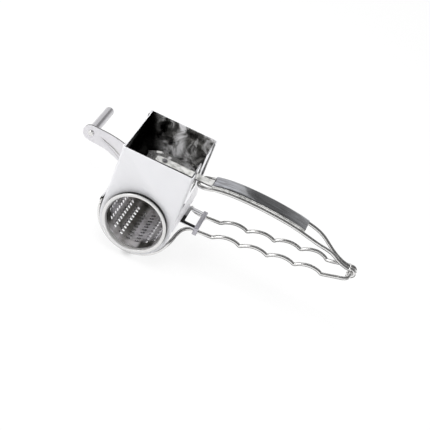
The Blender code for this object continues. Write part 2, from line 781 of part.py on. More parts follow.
def rivet(name, x, low, high):
    """A rivet along Z with a domed head at each end."""
    bm = bmesh.new()
    profile = [(0, high + RIVET_HEAD), (RIVET_HEAD_R * 0.6, high + RIVET_HEAD * 0.8),
               (RIVET_HEAD_R, high), (RIVET_R, high), (RIVET_R, low), (RIVET_HEAD_R, low),
               (RIVET_HEAD_R * 0.8, low - RIVET_HEAD * 0.5), (0, low - RIVET_HEAD * 0.5)]
    verts = [bm.verts.new((r, 0, z)) for r, z in profile]
    for a, b in zip(verts, verts[1:]):
        bm.edges.new((a, b))
    bmesh.ops.spin(bm, geom=bm.verts[:] + bm.edges[:], cent=(0, 0, 0), axis=(0, 0, 1),
                   angle=2 * math.pi, steps=20, use_merge=True, use_duplicate=False)
    bmesh.ops.translate(bm, verts=bm.verts, vec=(x, MIDDLE, 0))
    return place(name, settled(name, bm), "wire_steel")


def press_foot():
    """The saddle that presses the food on to the drum."""
    centre = FOOT_TOP - FOOT_SHEET - FOOT_R
    us = [90 - FOOT_HALF_ANGLE + FOOT_HALF_ANGLE * i / 5 for i in range(11)]
    half = FOOT_LENGTH / 2
    vs = [-half, -half + 0.001, -0.006, 0, 0.006, half - 0.001, half]

    def shape(angle, v):
        turn = math.radians(angle)
        lip = 0.0012 if abs(v) == half else 0
        x = (FOOT_R + lip) * math.cos(turn)
        z = centre + (FOOT_R + lip) * math.sin(turn)
        return x, MIDDLE + v, z

    foot = sheet("press_foot", "plate_steel", us, vs, shape, -FOOT_SHEET)
    return combine(foot, drill("foot_hole", 0.0, 0.03, 0.06), "DIFFERENCE")


def build():
    end_plate("front_plate", 0, 1, MOUTH_R)
    end_plate("back_plate", HOPPER_DEPTH, -1, BORE_R + 0.0012 + GAP)
    left_wall()
    right_wall()
    wire_clamp()
    lower_frame()
    drum_shell()
    drum_rim()
    drum_end()
    drum_hub()
    axle()
    axle_bush()
    axle_washer()
    crank_arm()
    crank_nut()
    grip_pin()
    crank_grip()
    press_wire()
    thumb_plate()
    press_arm()
    press_foot()
    rivet("foot_rivet", 0.0, FOOT_TOP - FOOT_SHEET - GAP, ARM_Z + ARM_SHEET + GAP)
    plate_rivet()


def plate_rivet():
    """The rivet that holds the arm to the thumb plate."""
    x = ARM_END - 0.004
    plate = GRATER.objects["thumb_plate"]
    combine(plate, drill("plate_hole", x, 0.03, 0.06), "DIFFERENCE")
    low = arm_under(x) - GAP
    high = plate_height(x) + PLATE_CROWN + SHEET + GAP
    rivet("plate_rivet", x, low, high)


def pivots():
    """Where each moving piece turns or slides, as its own origin."""
    crank = Vector((0, CRANK_FACE, 0))
    eye = Vector((EYE_X, EYE_FACE, EYE_Z))
    bar = Vector((HINGE_X, MIDDLE, HINGE_Z))
    return {
        "drum_shell": crank, "drum_rim": crank, "drum_end": crank, "drum_hub": crank,
        "axle": crank, "crank_arm": crank, "crank_nut": crank, "grip_pin": eye, "crank_grip": eye,
        "press_wire": bar, "thumb_plate": bar, "press_arm": bar, "press_foot": bar,
        "foot_rivet": bar, "plate_rivet": bar,
    }


def settle_origin():
    """Put the middle of the underside at the origin and each moving piece's on its axis."""
    corners = [v.co for thing in GRATER.objects for v in thing.data.vertices]
    low = Vector(min(c[i] for c in corners) for i in range(3))
    high = Vector(max(c[i] for c in corners) for i in range(3))
    base = Vector(((low.x + high.x) / 2, (low.y + high.y) / 2, low.z))
    spots = pivots()
    for thing in GRATER.objects:
        pivot = spots.get(thing.name, base)
        for vert in thing.data.vertices:
            vert.co -= pivot
        thing.location = pivot - base
    print("origin is", [round(c, 6) for c in base], "from the drum's axis")
    print("size is", [round(c, 5) for c in high - low])


clear_scene()
GRATER = collection("cheese_grater")
CUTTERS = collection("cutters")
build()
settle_origin()
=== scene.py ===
"""Rotary cheese grater: a plated steel housing on a bent wire frame, with a toothed drum turned by
a crank and a hinged handle that presses the cheese down. Metres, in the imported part's frame."""
import math
import bpy
from mathutils import Matrix, Vector


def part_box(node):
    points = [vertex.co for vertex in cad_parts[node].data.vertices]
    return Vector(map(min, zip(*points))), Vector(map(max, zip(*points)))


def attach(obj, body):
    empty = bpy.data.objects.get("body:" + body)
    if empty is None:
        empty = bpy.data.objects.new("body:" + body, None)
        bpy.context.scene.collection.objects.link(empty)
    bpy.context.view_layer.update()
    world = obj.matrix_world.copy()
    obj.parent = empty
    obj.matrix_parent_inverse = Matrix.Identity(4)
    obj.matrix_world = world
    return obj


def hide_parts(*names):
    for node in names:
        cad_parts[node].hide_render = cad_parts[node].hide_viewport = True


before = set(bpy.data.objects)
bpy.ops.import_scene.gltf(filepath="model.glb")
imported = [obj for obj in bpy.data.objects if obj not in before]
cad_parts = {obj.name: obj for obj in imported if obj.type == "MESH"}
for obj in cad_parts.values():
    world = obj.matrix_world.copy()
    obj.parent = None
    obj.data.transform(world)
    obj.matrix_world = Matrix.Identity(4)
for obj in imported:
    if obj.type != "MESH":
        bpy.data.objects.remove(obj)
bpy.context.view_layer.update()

# The two end plates are blanked from plated sheet, with a round foot below and both edges folded
# back beside the hopper. The front one has the drum's mouth, the back one a hole for the crank's
# bush. Plating is bright, with faint rolling lines and smudges from handling.
SHEET = 0.0008
GAP = 0.0003
HALF_WIDTH = 0.0312
DEPTH = 0.0705
MIDDLE = DEPTH / 2
HOPPER_TOP = 0.062
FOLD_FOOT = 0.0195
FOLD_DEPTH = 0.007
FOLD_RADIUS = 0.002
MOUTH_RADIUS = 0.027
BUSH_HOLE = 0.0048
TINY = 1e-6
WELD = 0.000004

rim_low, rim_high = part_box("drum_rim")
DRUM_AXIS = Vector(((rim_low.x + rim_high.x) / 2, rim_high.y + GAP, (rim_low.z + rim_high.z) / 2))


def feed(owner, node, inputs):
    """Give a shader node's inputs, by name or number, their values or links from sockets."""
    for key, value in inputs.items():
        if isinstance(value, bpy.types.NodeSocket):
            owner.node_tree.links.new(value, node.inputs[key])
        else:
            node.inputs[key].default_value = value


def add_node(owner, kind, inputs=None, output=0, **settings):
    """Add a shader node to a material or world, and return one of its outputs."""
    node = owner.node_tree.nodes.new("ShaderNode" + kind)
    for key, value in settings.items():
        setattr(node, key, value)
    feed(owner, node, inputs or {})
    return node.outputs[output]


def calc(owner, operation, *values):
    """Add a math node for some values, and return its result."""
    return add_node(owner, "Math", dict(enumerate(values)), operation=operation)


def spread(owner, value, low, high, to_low=0.0, to_high=1.0, kind="LINEAR"):
    """Map a value from one range onto another."""
    ends = {"Value": value, "From Min": low, "From Max": high, "To Min": to_low, "To Max": to_high}
    return add_node(owner, "MapRange", ends, interpolation_type=kind)


def mixed(owner, share, first, second):
    """Mix two colours by a share of the second."""
    return add_node(owner, "Mix", {"Factor": share, 6: first, 7: second}, 2, data_type="RGBA")


def plated_steel(name, colour, roughness, grain, grain_depth=0.00001, stain=(0.8, 0.8, 0.8),
                 stained=0.15, metallic=1.0, streaked=False):
    """Bright metal with rolling lines along one axis, cloudy gloss and faint stains or streaks."""
    made = bpy.data.materials.new(name)
    made.use_nodes = True
    place = add_node(made, "TexCoord", output="Object")
    drawn = add_node(made, "Mapping", {"Vector": place, "Scale": grain})
    lines = add_node(made, "TexNoise", {"Vector": drawn, "Scale": 900, "Detail": 3})
    clouds = add_node(made, "TexNoise", {"Vector": place, "Scale": 70, "Detail": 5, "Distortion": 0.6})
    gloss = spread(made, clouds, 0.35, 0.7, *roughness)
    size, low, high = (420, 0.42, 0.66) if streaked else (160, 0.45, 0.75)
    patches = add_node(made, "TexNoise", {"Vector": drawn if streaked else place, "Scale": size,
                                          "Detail": 6, "Roughness": 0.65})
    share = spread(made, patches, low, high, 0.0, stained)
    darker = (*(c * s for c, s in zip(colour, stain)), 1)
    tint = mixed(made, share, (*colour, 1), darker)
    bump = add_node(made, "Bump", {"Height": lines, "Strength": 0.6, "Distance": grain_depth})
    feed(made, made.node_tree.nodes["Principled BSDF"],
         {"Base Color": tint, "Roughness": gloss, "Metallic": metallic, "Normal": bump})
    return made


def spot_distance(owner, centre, size):
    """Distance from a spot set from the drum's axis, counted in its half sizes."""
    place = add_node(owner, "TexCoord", output="Object")
    shift = [-c / s for c, s in zip(DRUM_AXIS + Vector(centre), size)]
    scaled = add_node(owner, "VectorMath", {0: place, 1: [1 / s for s in size], 2: shift},
                      operation="MULTIPLY_ADD")
    return add_node(owner, "VectorMath", {0: scaled}, "Value", operation="LENGTH")


def lining_steel():
    """The hopper's inside: darkened at the left by painted shade, then dulled by pale smears, partly film
    and partly painted reflection, round one painted highlight spot.
    """
    made = plated_steel("inside_steel", (0.42, 0.415, 0.40), (0.08, 0.3), (0.15, 0.15, 1.0), 0.00002,
                        stain=(0.25, 0.25, 0.24), stained=0.9)
    shader = made.node_tree.nodes["Principled BSDF"]
    metal = shader.inputs["Base Color"].links[0].from_socket
    place = add_node(made, "TexCoord", output="Object")
    apart = add_node(made, "SeparateXYZ", {0: place}).node.outputs
    # Painted shade takes the colour near black at the left; a painted highlight spot pales the smears
    # near the back wall.
    lean = 0.37
    across = calc(made, "MULTIPLY_ADD", apart["Z"], lean, apart["X"])
    edge = DRUM_AXIS.x - 0.0233 + lean * (DRUM_AXIS.z + HOPPER_TOP)
    painted_light_share = spread(made, across, edge - 0.008, edge + 0.006, 0.02, 1.0, "SMOOTHSTEP")
    smear = add_node(made, "TexNoise", {"Vector": place, "Scale": 70, "Detail": 4, "Roughness": 0.6,
                                        "Distortion": 0.8})
    away = spot_distance(made, (0.001, DEPTH, 0.044), (0.0065, 0.03, 0.013))
    painted_highlight = spread(made, away, 0.3, 1.3, 0.13, 0.0, "SMOOTHSTEP")
    pale = spread(made, calc(made, "ADD", smear, painted_highlight), 0.47, 0.66, 0.0, 0.95)
    film = calc(made, "MULTIPLY", pale, painted_light_share)
    coat = mixed(made, film, metal, (0.76, 0.755, 0.77, 1))
    shade_dimmed_coat = add_node(made, "VectorMath", {0: coat, "Scale": painted_light_share}, operation="SCALE")
    bare = calc(made, "MULTIPLY_ADD", film, -0.9, 1.0)
    feed(made, shader, {"Base Color": shade_dimmed_coat, "Metallic": bare})
    return made


def fresh(add, **settings):
    """Add a primitive with nothing else selected, and apply its turn and place."""
    bpy.ops.object.select_all(action="DESELECT")
    add(**settings)
    bpy.ops.object.transform_apply(location=True, rotation=True, scale=True)
    return bpy.context.active_object


def only(piece):
    bpy.ops.object.select_all(action="DESELECT")
    piece.select_set(True)
    bpy.context.view_layer.objects.active = piece


def edit(piece, kind="VERT", test=lambda c: True):
    """Open a piece with all its points, edges or faces selected, or those that pass a test."""
    only(piece)
    bpy.ops.object.mode_set(mode="EDIT")
    bpy.ops.mesh.select_mode(type=kind)
    bpy.ops.mesh.select_all(action="DESELECT")
    bpy.ops.object.mode_set(mode="OBJECT")
    mesh = piece.data
    if kind == "FACE":
        for face in mesh.polygons:
            face.select = test(face.center)
    elif kind == "EDGE":
        for edge in mesh.edges:
            edge.select = all(test(mesh.vertices[i].co) for i in edge.vertices)
    else:
        for vert in mesh.vertices:
            vert.select = test(vert.co)
    bpy.ops.object.mode_set(mode="EDIT")


def close(piece):
    bpy.ops.object.mode_set(mode="OBJECT")
    return piece


def draw_out(step):
    bpy.ops.mesh.extrude_region_move(TRANSFORM_OT_translate={"value": step})


def facing(piece, outward):
    """Flip an open sheet's faces if its largest one doesn't look outward."""
    face = max(piece.data.polygons, key=lambda f: f.area)
    if face.normal.dot(Vector(outward)) < 0:
        edit(piece, "FACE")
        bpy.ops.mesh.flip_normals()
        close(piece)


def change(piece, kind, **settings):
    """Put a modifier on a piece and apply it."""
    only(piece)
    added = piece.modifiers.new(kind, kind)
    for key, value in settings.items():
        setattr(added, key, value)
    bpy.ops.object.modifier_apply(modifier=added.name)
    return piece


def cut(piece, cutter, operation="DIFFERENCE"):
    change(piece, "BOOLEAN", operation=operation, solver="EXACT", object=cutter)
    bpy.data.objects.remove(cutter)
    return piece


def round_bar(radius, low, high, centre=(0, 0), sides=96):
    """A plain bar along Y, for drilling."""
    middle = (centre[0], (low + high) / 2, centre[1])
    return fresh(bpy.ops.mesh.primitive_cylinder_add, vertices=sides, radius=radius,
                 depth=high - low, location=middle, rotation=(math.pi / 2, 0, 0))


def block(low, high):
    low, high = Vector(low), Vector(high)
    return fresh(bpy.ops.mesh.primitive_cube_add, size=1, location=(low + high) / 2, scale=high - low)


def soften(piece, width=0.00015, segments=2, angle=35):
    """Break the sharp edges, smooth the rest and close any doubled points."""
    edit(piece)
    bpy.ops.mesh.remove_doubles(threshold=WELD)
    bpy.ops.mesh.normals_make_consistent(inside=False)
    close(piece)
    if width:
        change(piece, "BEVEL", width=width, segments=segments, limit_method="ANGLE",
               angle_limit=math.radians(angle), harden_normals=False)
    only(piece)
    bpy.ops.object.shade_smooth_by_angle(angle=math.radians(angle))
    return piece


def fit(piece, name, body, finish, material, *nodes):
    """Move a piece from the drum's axis to its place and hang it on its body."""
    piece.name = name
    piece.data.name = name
    piece.location = DRUM_AXIS
    only(piece)
    bpy.ops.object.transform_apply(location=True, rotation=True, scale=True)
    piece.data.materials.clear()
    piece.data.materials.append(material)
    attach(piece, body)
    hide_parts(*nodes)
    return piece


def refinish(piece, material, test):
    """Give the faces that pass the test another finish."""
    piece.data.materials.append(material)
    for face in piece.data.polygons:
        if test(face.center - DRUM_AXIS, face.normal):
            face.material_index = len(piece.data.materials) - 1


def end_plate(face_y, inward, hole_radius):
    """A disc is cut across, drawn up into the hopper's side, folded back and drilled."""
    plate = fresh(bpy.ops.mesh.primitive_circle_add, vertices=128, radius=HALF_WIDTH, fill_type="NGON",
                  rotation=(math.pi / 2, 0, 0))
    edit(plate)
    bpy.ops.mesh.bisect(plane_co=(0, 0, 0), plane_no=(0, 0, 1), clear_outer=True)
    close(plate)
    edit(plate, "EDGE", lambda c: c.z > -TINY)
    draw_out((0, 0, FOLD_FOOT))
    draw_out((0, 0, HOPPER_TOP - FOLD_FOOT))
    close(plate)
    for side in (-1, 1):
        def folded(c):
            return c.x * side > HALF_WIDTH - TINY and c.z > FOLD_FOOT - TINY

        edit(plate, "EDGE", folded)
        draw_out((0, inward * FOLD_DEPTH, 0))
        close(plate)
        edit(plate, "EDGE", lambda c: folded(c) and abs(c.y) < TINY)
        bpy.ops.mesh.bevel(offset=FOLD_RADIUS, segments=8, affect="EDGES")
        close(plate)
    facing(plate, (0, -inward, 0))
    change(plate, "SOLIDIFY", thickness=SHEET, offset=-1, use_even_offset=True)
    cut(plate, round_bar(hole_radius, -0.01, 0.01))
    edit(plate)
    bpy.ops.transform.translate(value=(0, face_y, 0))
    close(plate)
    return soften(plate, 0.00012)


hopper_steel = plated_steel("hopper_steel", (0.71, 0.71, 0.73), (0.5, 0.6), (0.15, 0.15, 1.0),
                            stained=0.05, metallic=0.15)
inside_steel = lining_steel()
front = fit(end_plate(0, 1, MOUTH_RADIUS), "front_plate_fine", "housing", "hopper_steel",
            hopper_steel, "front_plate")
back = fit(end_plate(DEPTH, -1, BUSH_HOLE), "back_plate_fine", "housing", "hopper_steel",
           hopper_steel, "back_plate")
refinish(front, inside_steel, lambda c, n: n.y > 0.9)
refinish(back, inside_steel, lambda c, n: n.y < -0.9)

# The hopper's two side walls are sheet too. The left one flares out below and ends in a hook round
# the frame's cross wire. The right one is slotted for the pressing arm, flares, and turns out into
# a tongue that lies on both wires, with a window pressed out of its middle.
WALL_IN = HALF_WIDTH - 2 * SHEET - GAP
WALL_CLEAR = 0.0006
WALL_FRONT = SHEET + GAP + WALL_CLEAR
WALL_BACK = DEPTH - WALL_FRONT
FLARE_TOP = 0.019
WIRE_RADIUS = 0.0016
CRADLE_RADIUS = 0.0331
CRADLE_INSET = 0.0042
HOOK_NOTCH = 0.0045
HOOK_END = 325
HANDLE_SPREAD = 0.0245
FLARE_OUT = 0.002
TONGUE_FOLD = 0.0012
TONGUE_REACH = 0.0165
TONGUE_Z = 0.0042
TONGUE_TIP = WALL_IN + FLARE_OUT + TONGUE_FOLD + TONGUE_REACH
HALF_TONGUE = HANDLE_SPREAD / 2 + WIRE_RADIUS
WINDOW_RIM = 0.0042
WINDOW_FRONT = MIDDLE - HALF_TONGUE + WINDOW_RIM
WINDOW_REAR = MIDDLE + HALF_TONGUE - WINDOW_RIM
WINDOW_NEAR = TONGUE_TIP - 0.0139
WINDOW_FAR = TONGUE_TIP - 0.003
SHADE_END = MIDDLE - 0.002
SLOT_HALF = 0.008
SLOT_FOOT = 0.0305


def arc(cx, cz, radius, start, end, count):
    turns = [math.radians(start + (end - start) * i / count) for i in range(count + 1)]
    return [(cx + radius * math.cos(a), cz + radius * math.sin(a)) for a in turns]


def drawn_strip(line, y0, y1):
    """A strip of sheet drawn out along a line of (x, z) points."""
    strip = fresh(bpy.ops.mesh.primitive_plane_add, size=1)
    for vert, x, y in zip(strip.data.vertices, (0, 1, 0, 1), (y0, y0, y1, y1)):
        vert.co = (line[x][0], y, line[x][1])
    edit(strip, "VERT", lambda c: (c.xz - Vector(line[1])).length < 1e-7)
    for (ax, az), (bx, bz) in zip(line[1:], line[2:]):
        draw_out((bx - ax, 0, bz - az))
    return close(strip)


def left_wall():
    reach = WIRE_RADIUS + GAP
    run = CRADLE_RADIUS - WALL_IN
    meet = math.degrees(math.atan2(FLARE_TOP, run) + math.acos(reach / math.hypot(run, FLARE_TOP)))
    hook = arc(-CRADLE_RADIUS, 0, reach, meet, HOOK_END, 18)
    top = (-WALL_IN, FLARE_TOP)
    split = tuple(t + (h - t) * 0.62 for t, h in zip(top, hook[0]))
    wall = drawn_strip([(-WALL_IN, HOPPER_TOP), top, split] + hook, WALL_FRONT, WALL_BACK)
    facing(wall, (-1, 0, 0))
    change(wall, "SOLIDIFY", thickness=SHEET, offset=1, use_even_offset=True)
    notch = CRADLE_INSET + HOOK_NOTCH
    for low, high in ((-0.01, notch), (DEPTH - notch, DEPTH + 0.01)):
        cut(wall, block((-0.045, low, -0.01), (-0.028, high, split[1])))
    return soften(wall, 0.00012, angle=30)


def right_wall():
    fold = arc(WALL_IN + FLARE_OUT + TONGUE_FOLD, TONGUE_Z + TONGUE_FOLD, TONGUE_FOLD, 180, 270, 8)
    line = [(WALL_IN, HOPPER_TOP), (WALL_IN, FLARE_TOP)] + fold + [(TONGUE_TIP, TONGUE_Z)]
    wall = drawn_strip(line, WALL_FRONT, WALL_BACK)
    facing(wall, (1, 0, 0))
    for point, normal in (((0, WINDOW_FRONT, 0), (0, 1, 0)), ((0, SHADE_END, 0), (0, 1, 0)),
                          ((WINDOW_NEAR, 0, 0), (1, 0, 0)), ((WINDOW_FAR, 0, 0), (1, 0, 0))):
        edit(wall)
        bpy.ops.mesh.bisect(plane_co=point, plane_no=normal)
        close(wall)
    change(wall, "SOLIDIFY", thickness=SHEET, offset=1, use_even_offset=True)
    for low, high in ((-0.01, MIDDLE - HALF_TONGUE), (MIDDLE + HALF_TONGUE, DEPTH + 0.01)):
        cut(wall, block((0.02, low, -0.01), (0.06, high, TONGUE_Z + TONGUE_FOLD)))
    slot_cutter = block((0.02, MIDDLE - SLOT_HALF, SLOT_FOOT), (0.04, MIDDLE + SLOT_HALF, 0.08))
    edit(slot_cutter, "EDGE", lambda c: c.z < 0.04)
    bpy.ops.mesh.bevel(offset=0.0015, segments=4, affect="EDGES")
    cut(wall, close(slot_cutter))
    window = block((WINDOW_NEAR, WINDOW_FRONT, -0.01), (WINDOW_FAR, WINDOW_REAR, 0.02))
    edit(window, "EDGE")
    bpy.ops.mesh.bevel(offset=0.0014, segments=4, affect="EDGES")
    cut(wall, close(window))
    return soften(wall, 0.00012, angle=30)


left = fit(left_wall(), "left_wall_fine", "housing", "hopper_steel", hopper_steel, "left_wall")
wall_steel = plated_steel("wall_steel", (0.86, 0.86, 0.885), (0.12, 0.25), (0.15, 0.15, 1.0),
                          stained=0.05)
right = fit(right_wall(), "right_wall_fine", "housing", "hopper_steel", wall_steel, "right_wall")
flare_steel = plated_steel("flare_steel", (0.96, 0.95, 0.98), (0.4, 0.5), (0.15, 0.15, 1.0),
                           metallic=0.0)
refinish(right, flare_steel, lambda c, n: c.z < FLARE_TOP and n.x > 0.5)
refinish(back, wall_steel, lambda c, n: c.x > 0 and n.x > 0.5)
refinish(left, inside_steel, lambda c, n: c.z > FLARE_TOP and n.x > 0.9)
refinish(right, inside_steel, lambda c, n: c.z > FLARE_TOP and n.x < -0.9)
# Painted shade: the hook round the cross wire is dark grey, as if in shade.
hook_painted_shade = plated_steel("hook_painted_shade", (0.16, 0.16, 0.155), (0.08, 0.2), (1, 1, 1), stained=0.3)
refinish(left, hook_painted_shade, lambda c, n: c.z < 0.0045)
# Painted shade: the tongue's near and left arms are darkened as if shaded under the hopper.
shade_steel = plated_steel("shade_steel", (0.07, 0.07, 0.07), (0.1, 0.25), (1, 1, 1), stained=0.5)
refinish(right, shade_steel, lambda c, n: n.z > 0.5 and c.z < 0.006 and c.x < WINDOW_FAR and (
    c.y < WINDOW_FRONT or (c.x < WINDOW_NEAR and c.y < SHADE_END)))

# The frame is one closed loop of plated wire: a cross wire at the left, a cradle under each end of
# the drum, then two waved runs that make the lower handle, joined by the bar that the pressing
# handle hinges on.
HINGE_X = 0.178
HINGE_Z = 0.0245
BAR_FRONT = 0.0228
BAR_REAR = 0.0445
HANDLE_FRONT = MIDDLE - HANDLE_SPREAD / 2
HANDLE_REAR = MIDDLE + HANDLE_SPREAD / 2
RUN_SLOPE = 0.09
WAVE_START = 0.0627
WAVE_PITCH = 0.0234
WAVE_FOOT = 0.0035
WAVE_SLOPE = 0.151
WAVE_HEIGHT = 0.004
WAVES = 4


def run_height(x):
    return WAVE_FOOT + (x - WAVE_START) * RUN_SLOPE


def wave_height(x):
    """Height of the lower handle's wire, with its four finger waves."""
    end = WAVE_START + WAVES * WAVE_PITCH
    if x < WAVE_START:
        return run_height(x)
    if x > end:
        foot = WAVE_FOOT + WAVE_SLOPE * (end - WAVE_START)
        return foot + (HINGE_Z - foot) * (x - end) / (HINGE_X - end)
    wave = WAVE_HEIGHT * math.sin(math.pi * ((x - WAVE_START) % WAVE_PITCH) / WAVE_PITCH) ** 0.7
    return WAVE_FOOT + WAVE_SLOPE * (x - WAVE_START) + wave


def eased(t):
    t = min(max(t, 0), 1)
    return t * t * (3 - 2 * t)


def bent_wire(points, radius, closed=False, smooth=4):
    """Round wire bent along a path, as a curve with a round section, made a mesh."""
    bpy.ops.object.select_all(action="DESELECT")
    bpy.ops.curve.primitive_bezier_curve_add()
    wire = bpy.context.active_object
    curve = wire.data
    curve.splines.clear()
    spline = curve.splines.new("BEZIER")
    spline.bezier_points.add(len(points) - 1)
    for spot, point in zip(spline.bezier_points, points):
        spot.co = point
        spot.handle_left_type = spot.handle_right_type = "AUTO"
    spline.use_cyclic_u = closed
    curve.resolution_u = smooth
    curve.bevel_depth = radius
    curve.bevel_resolution = 6
    curve.use_fill_caps = not closed
    bpy.ops.object.convert(target="MESH")
    return bpy.context.active_object


def cradle_run(rim_y, run_y, side):
    """The half loop of wire under one end of the drum, on to where the handle starts."""
    points = [(x, rim_y, z) for x, z in arc(0, 0, CRADLE_RADIUS, 188, 343, 15)]
    end = CRADLE_RADIUS + 0.0082
    return points + [(CRADLE_RADIUS + 0.0003, rim_y + side * 0.0030, -0.0052),
                     (CRADLE_RADIUS + 0.0016, rim_y + side * 0.0085, -0.0021),
                     (CRADLE_RADIUS + 0.0043, run_y - side * 0.0038, 0.0004),
                     (end, run_y - side * 0.0007, run_height(end))]


def handle_side(run_y, end_y):
    start = CRADLE_RADIUS + 0.0125
    stop = HINGE_X - 0.009
    steps = round((stop - start) / 0.0016)
    xs = [start + (stop - start) * i / steps for i in range(steps + 1)]
    return [(x, run_y + (end_y - run_y) * eased((x - HINGE_X + 0.032) / 0.018), wave_height(x))
            for x in xs]


def lower_frame():
    rear_rim = DEPTH - CRADLE_INSET
    front = cradle_run(CRADLE_INSET, HANDLE_FRONT, 1) + handle_side(HANDLE_FRONT, BAR_FRONT)
    rear = cradle_run(rear_rim, HANDLE_REAR, -1) + handle_side(HANDLE_REAR, BAR_REAR)
    near = [(HINGE_X - 0.004, BAR_FRONT, wave_height(HINGE_X - 0.004)),
            (HINGE_X - 0.0012, BAR_FRONT + 0.0012, HINGE_Z - 0.0003),
            (HINGE_X, BAR_FRONT + 0.004, HINGE_Z)]
    far = [(x, BAR_FRONT + BAR_REAR - y, z) for x, y, z in near[::-1]]
    cross = [(-CRADLE_RADIUS, y, z) for y, z in (
        (rear_rim - 0.0012, -0.0013), (rear_rim - 0.0042, 0), (MIDDLE, 0),
        (CRADLE_INSET + 0.0042, 0), (CRADLE_INSET + 0.0012, -0.0013))]
    loop = cross[1:] + front + near + far + rear[::-1] + cross[:1]
    return soften(bent_wire(loop, WIRE_RADIUS, closed=True), width=0)


wire_steel = plated_steel("wire_steel", (0.79, 0.785, 0.78), (0.1, 0.22), (1, 1, 1), 0.000006,
                          stain=(0.72, 0.70, 0.66), stained=0.3, metallic=0.9)
fit(lower_frame(), "lower_frame_fine", "housing", "wire_steel", wire_steel, "lower_frame")

# A strap of thin sheet lies across the tongue's end. Its own ends are turned down outside the
# frame's two wires and in under them, so that it grips both and holds the tongue.
STRAP_WIDTH = 0.0038
STRAP_TUCK = 0.0026
strap_front = MIDDLE - HALF_TONGUE - GAP
strap_rear = MIDDLE + HALF_TONGUE + GAP
strap_top = TONGUE_Z + SHEET + GAP
strap_low = run_height(TONGUE_TIP - STRAP_WIDTH) - WIRE_RADIUS - GAP


def wire_clamp():
    """A flat strip, its ends drawn down and then in, with the bends rounded."""
    strap = fresh(bpy.ops.mesh.primitive_plane_add, size=1)
    for vert, x, y in zip(strap.data.vertices, (0, 1, 0, 1), (0, 0, 1, 1)):
        vert.co = (TONGUE_TIP - STRAP_WIDTH * (1 - x), strap_rear if y else strap_front, strap_top)
    for y, inward in ((strap_front, 1), (strap_rear, -1)):
        edit(strap, "VERT", lambda c: abs(c.y - y) < TINY and c.z > strap_top - TINY)
        draw_out((0, 0, strap_low - strap_top))
        draw_out((0, inward * STRAP_TUCK, 0))
        close(strap)
    facing(strap, (0, 0, 1))
    change(strap, "SOLIDIFY", thickness=SHEET, offset=1, use_even_offset=True)
    edit(strap, "EDGE", lambda c: c.z > strap_top + SHEET / 2
         and not strap_front <= c.y <= strap_rear)
    bpy.ops.mesh.bevel(offset=0.0006, segments=4, affect="EDGES")
    close(strap)
    return soften(strap, 0.0001)


strap_steel = plated_steel("strap_steel", (0.46, 0.45, 0.49), (0.35, 0.5), (1, 0.2, 1), metallic=0.3)
fit(wire_clamp(), "wire_clamp_fine", "housing", "wire_steel", strap_steel, "wire_clamp")

# The drum is thin plated sheet rolled into a tube. Twenty rows of teeth are punched from the inside:
# each is a small burr raised ahead of an open oval hole, and cuts on its free edge.
BORE_RADIUS = 0.025
DRUM_WALL = 0.0006
DRUM_BACK = 0.0645
TOOTH_PITCH = 0.0048
FIRST_TOOTH = 0.010
TOOTH_LIFT = 0.00095
TOOTH_HALF = 0.0012
HOLE_HALF = 0.00125
TEETH = 10
ROWS = 20
ROW = 360 / ROWS
FIRST_ROW = -112.7


def tooth_patch():
    """One tooth's patch of the tube: a small grid, its hole opened and its burr raised."""
    turns = (-0.5, -0.34, -0.2, -0.1, 0.0, 0.1, 0.2, 0.3, 0.5)
    spots = (-2.4, -1.25, -0.9, -0.45, 0, 0.45, 0.9, 1.25, 2.4)
    patch = fresh(bpy.ops.mesh.primitive_grid_add, x_subdivisions=len(turns) - 1,
                  y_subdivisions=len(spots) - 1, size=1)
    for vert in patch.data.vertices:
        i = round((vert.co.x + 0.5) * (len(turns) - 1))
        j = round((vert.co.y + 0.5) * (len(spots) - 1))
        vert.co = (turns[i], spots[j] / 1000, 0)
    edit(patch, "FACE", lambda c: -0.02 < c.x < 0.3 and abs(c.y) < HOLE_HALF)
    bpy.ops.mesh.delete(type="FACE")
    close(patch)
    for vert in patch.data.vertices:
        turn, off = vert.co.x, vert.co.y
        lift = 0
        if -0.34 < turn < 0.01 and abs(off) < TOOTH_HALF:
            crest = math.cos(off / TOOTH_HALF * math.pi / 2) ** 0.8
            lift = TOOTH_LIFT * ((turn + 0.34) / 0.34) ** 1.4 * crest
        if abs(turn - 0.3) < 0.01 and abs(off) < 0.0013:
            turn -= 0.07 * (abs(off) / HOLE_HALF) ** 2
        angle = math.radians(FIRST_ROW + turn * ROW)
        radius = BORE_RADIUS + lift
        vert.co = (radius * math.cos(angle), FIRST_TOOTH + off, radius * math.sin(angle))
    return patch


def drum_shell():
    """Ten patches make a row, twenty rows the tube, and plain bands are drawn out at both ends."""
    tube = tooth_patch()
    change(tube, "ARRAY", count=TEETH, use_relative_offset=False, use_constant_offset=True,
           constant_offset_displace=(0, TOOTH_PITCH, 0), use_merge_vertices=True,
           merge_threshold=0.00001)
    first = FIRST_TOOTH - TOOTH_PITCH / 2
    last = first + TEETH * TOOTH_PITCH
    for end, goal in ((first, GAP), (last, DRUM_BACK)):
        edit(tube, "VERT", lambda c: abs(c.y - end) < 0.0001)
        bpy.ops.mesh.extrude_edges_move(TRANSFORM_OT_translate={"value": (0, goal - end, 0)})
        close(tube)
    edit(tube)
    bpy.ops.mesh.spin(steps=ROWS, dupli=True, angle=math.tau, center=(0, 0, 0), axis=(0, 1, 0))
    bpy.ops.mesh.select_all(action="SELECT")
    bpy.ops.mesh.remove_doubles(threshold=0.00001)
    bpy.ops.mesh.normals_make_consistent(inside=False)
    close(tube)
    facing(tube, max(tube.data.polygons, key=lambda f: f.area).center * Vector((1, 0, 1)))
    change(tube, "SOLIDIFY", thickness=DRUM_WALL, offset=1, use_even_offset=True)
    return soften(tube, width=0, angle=40)


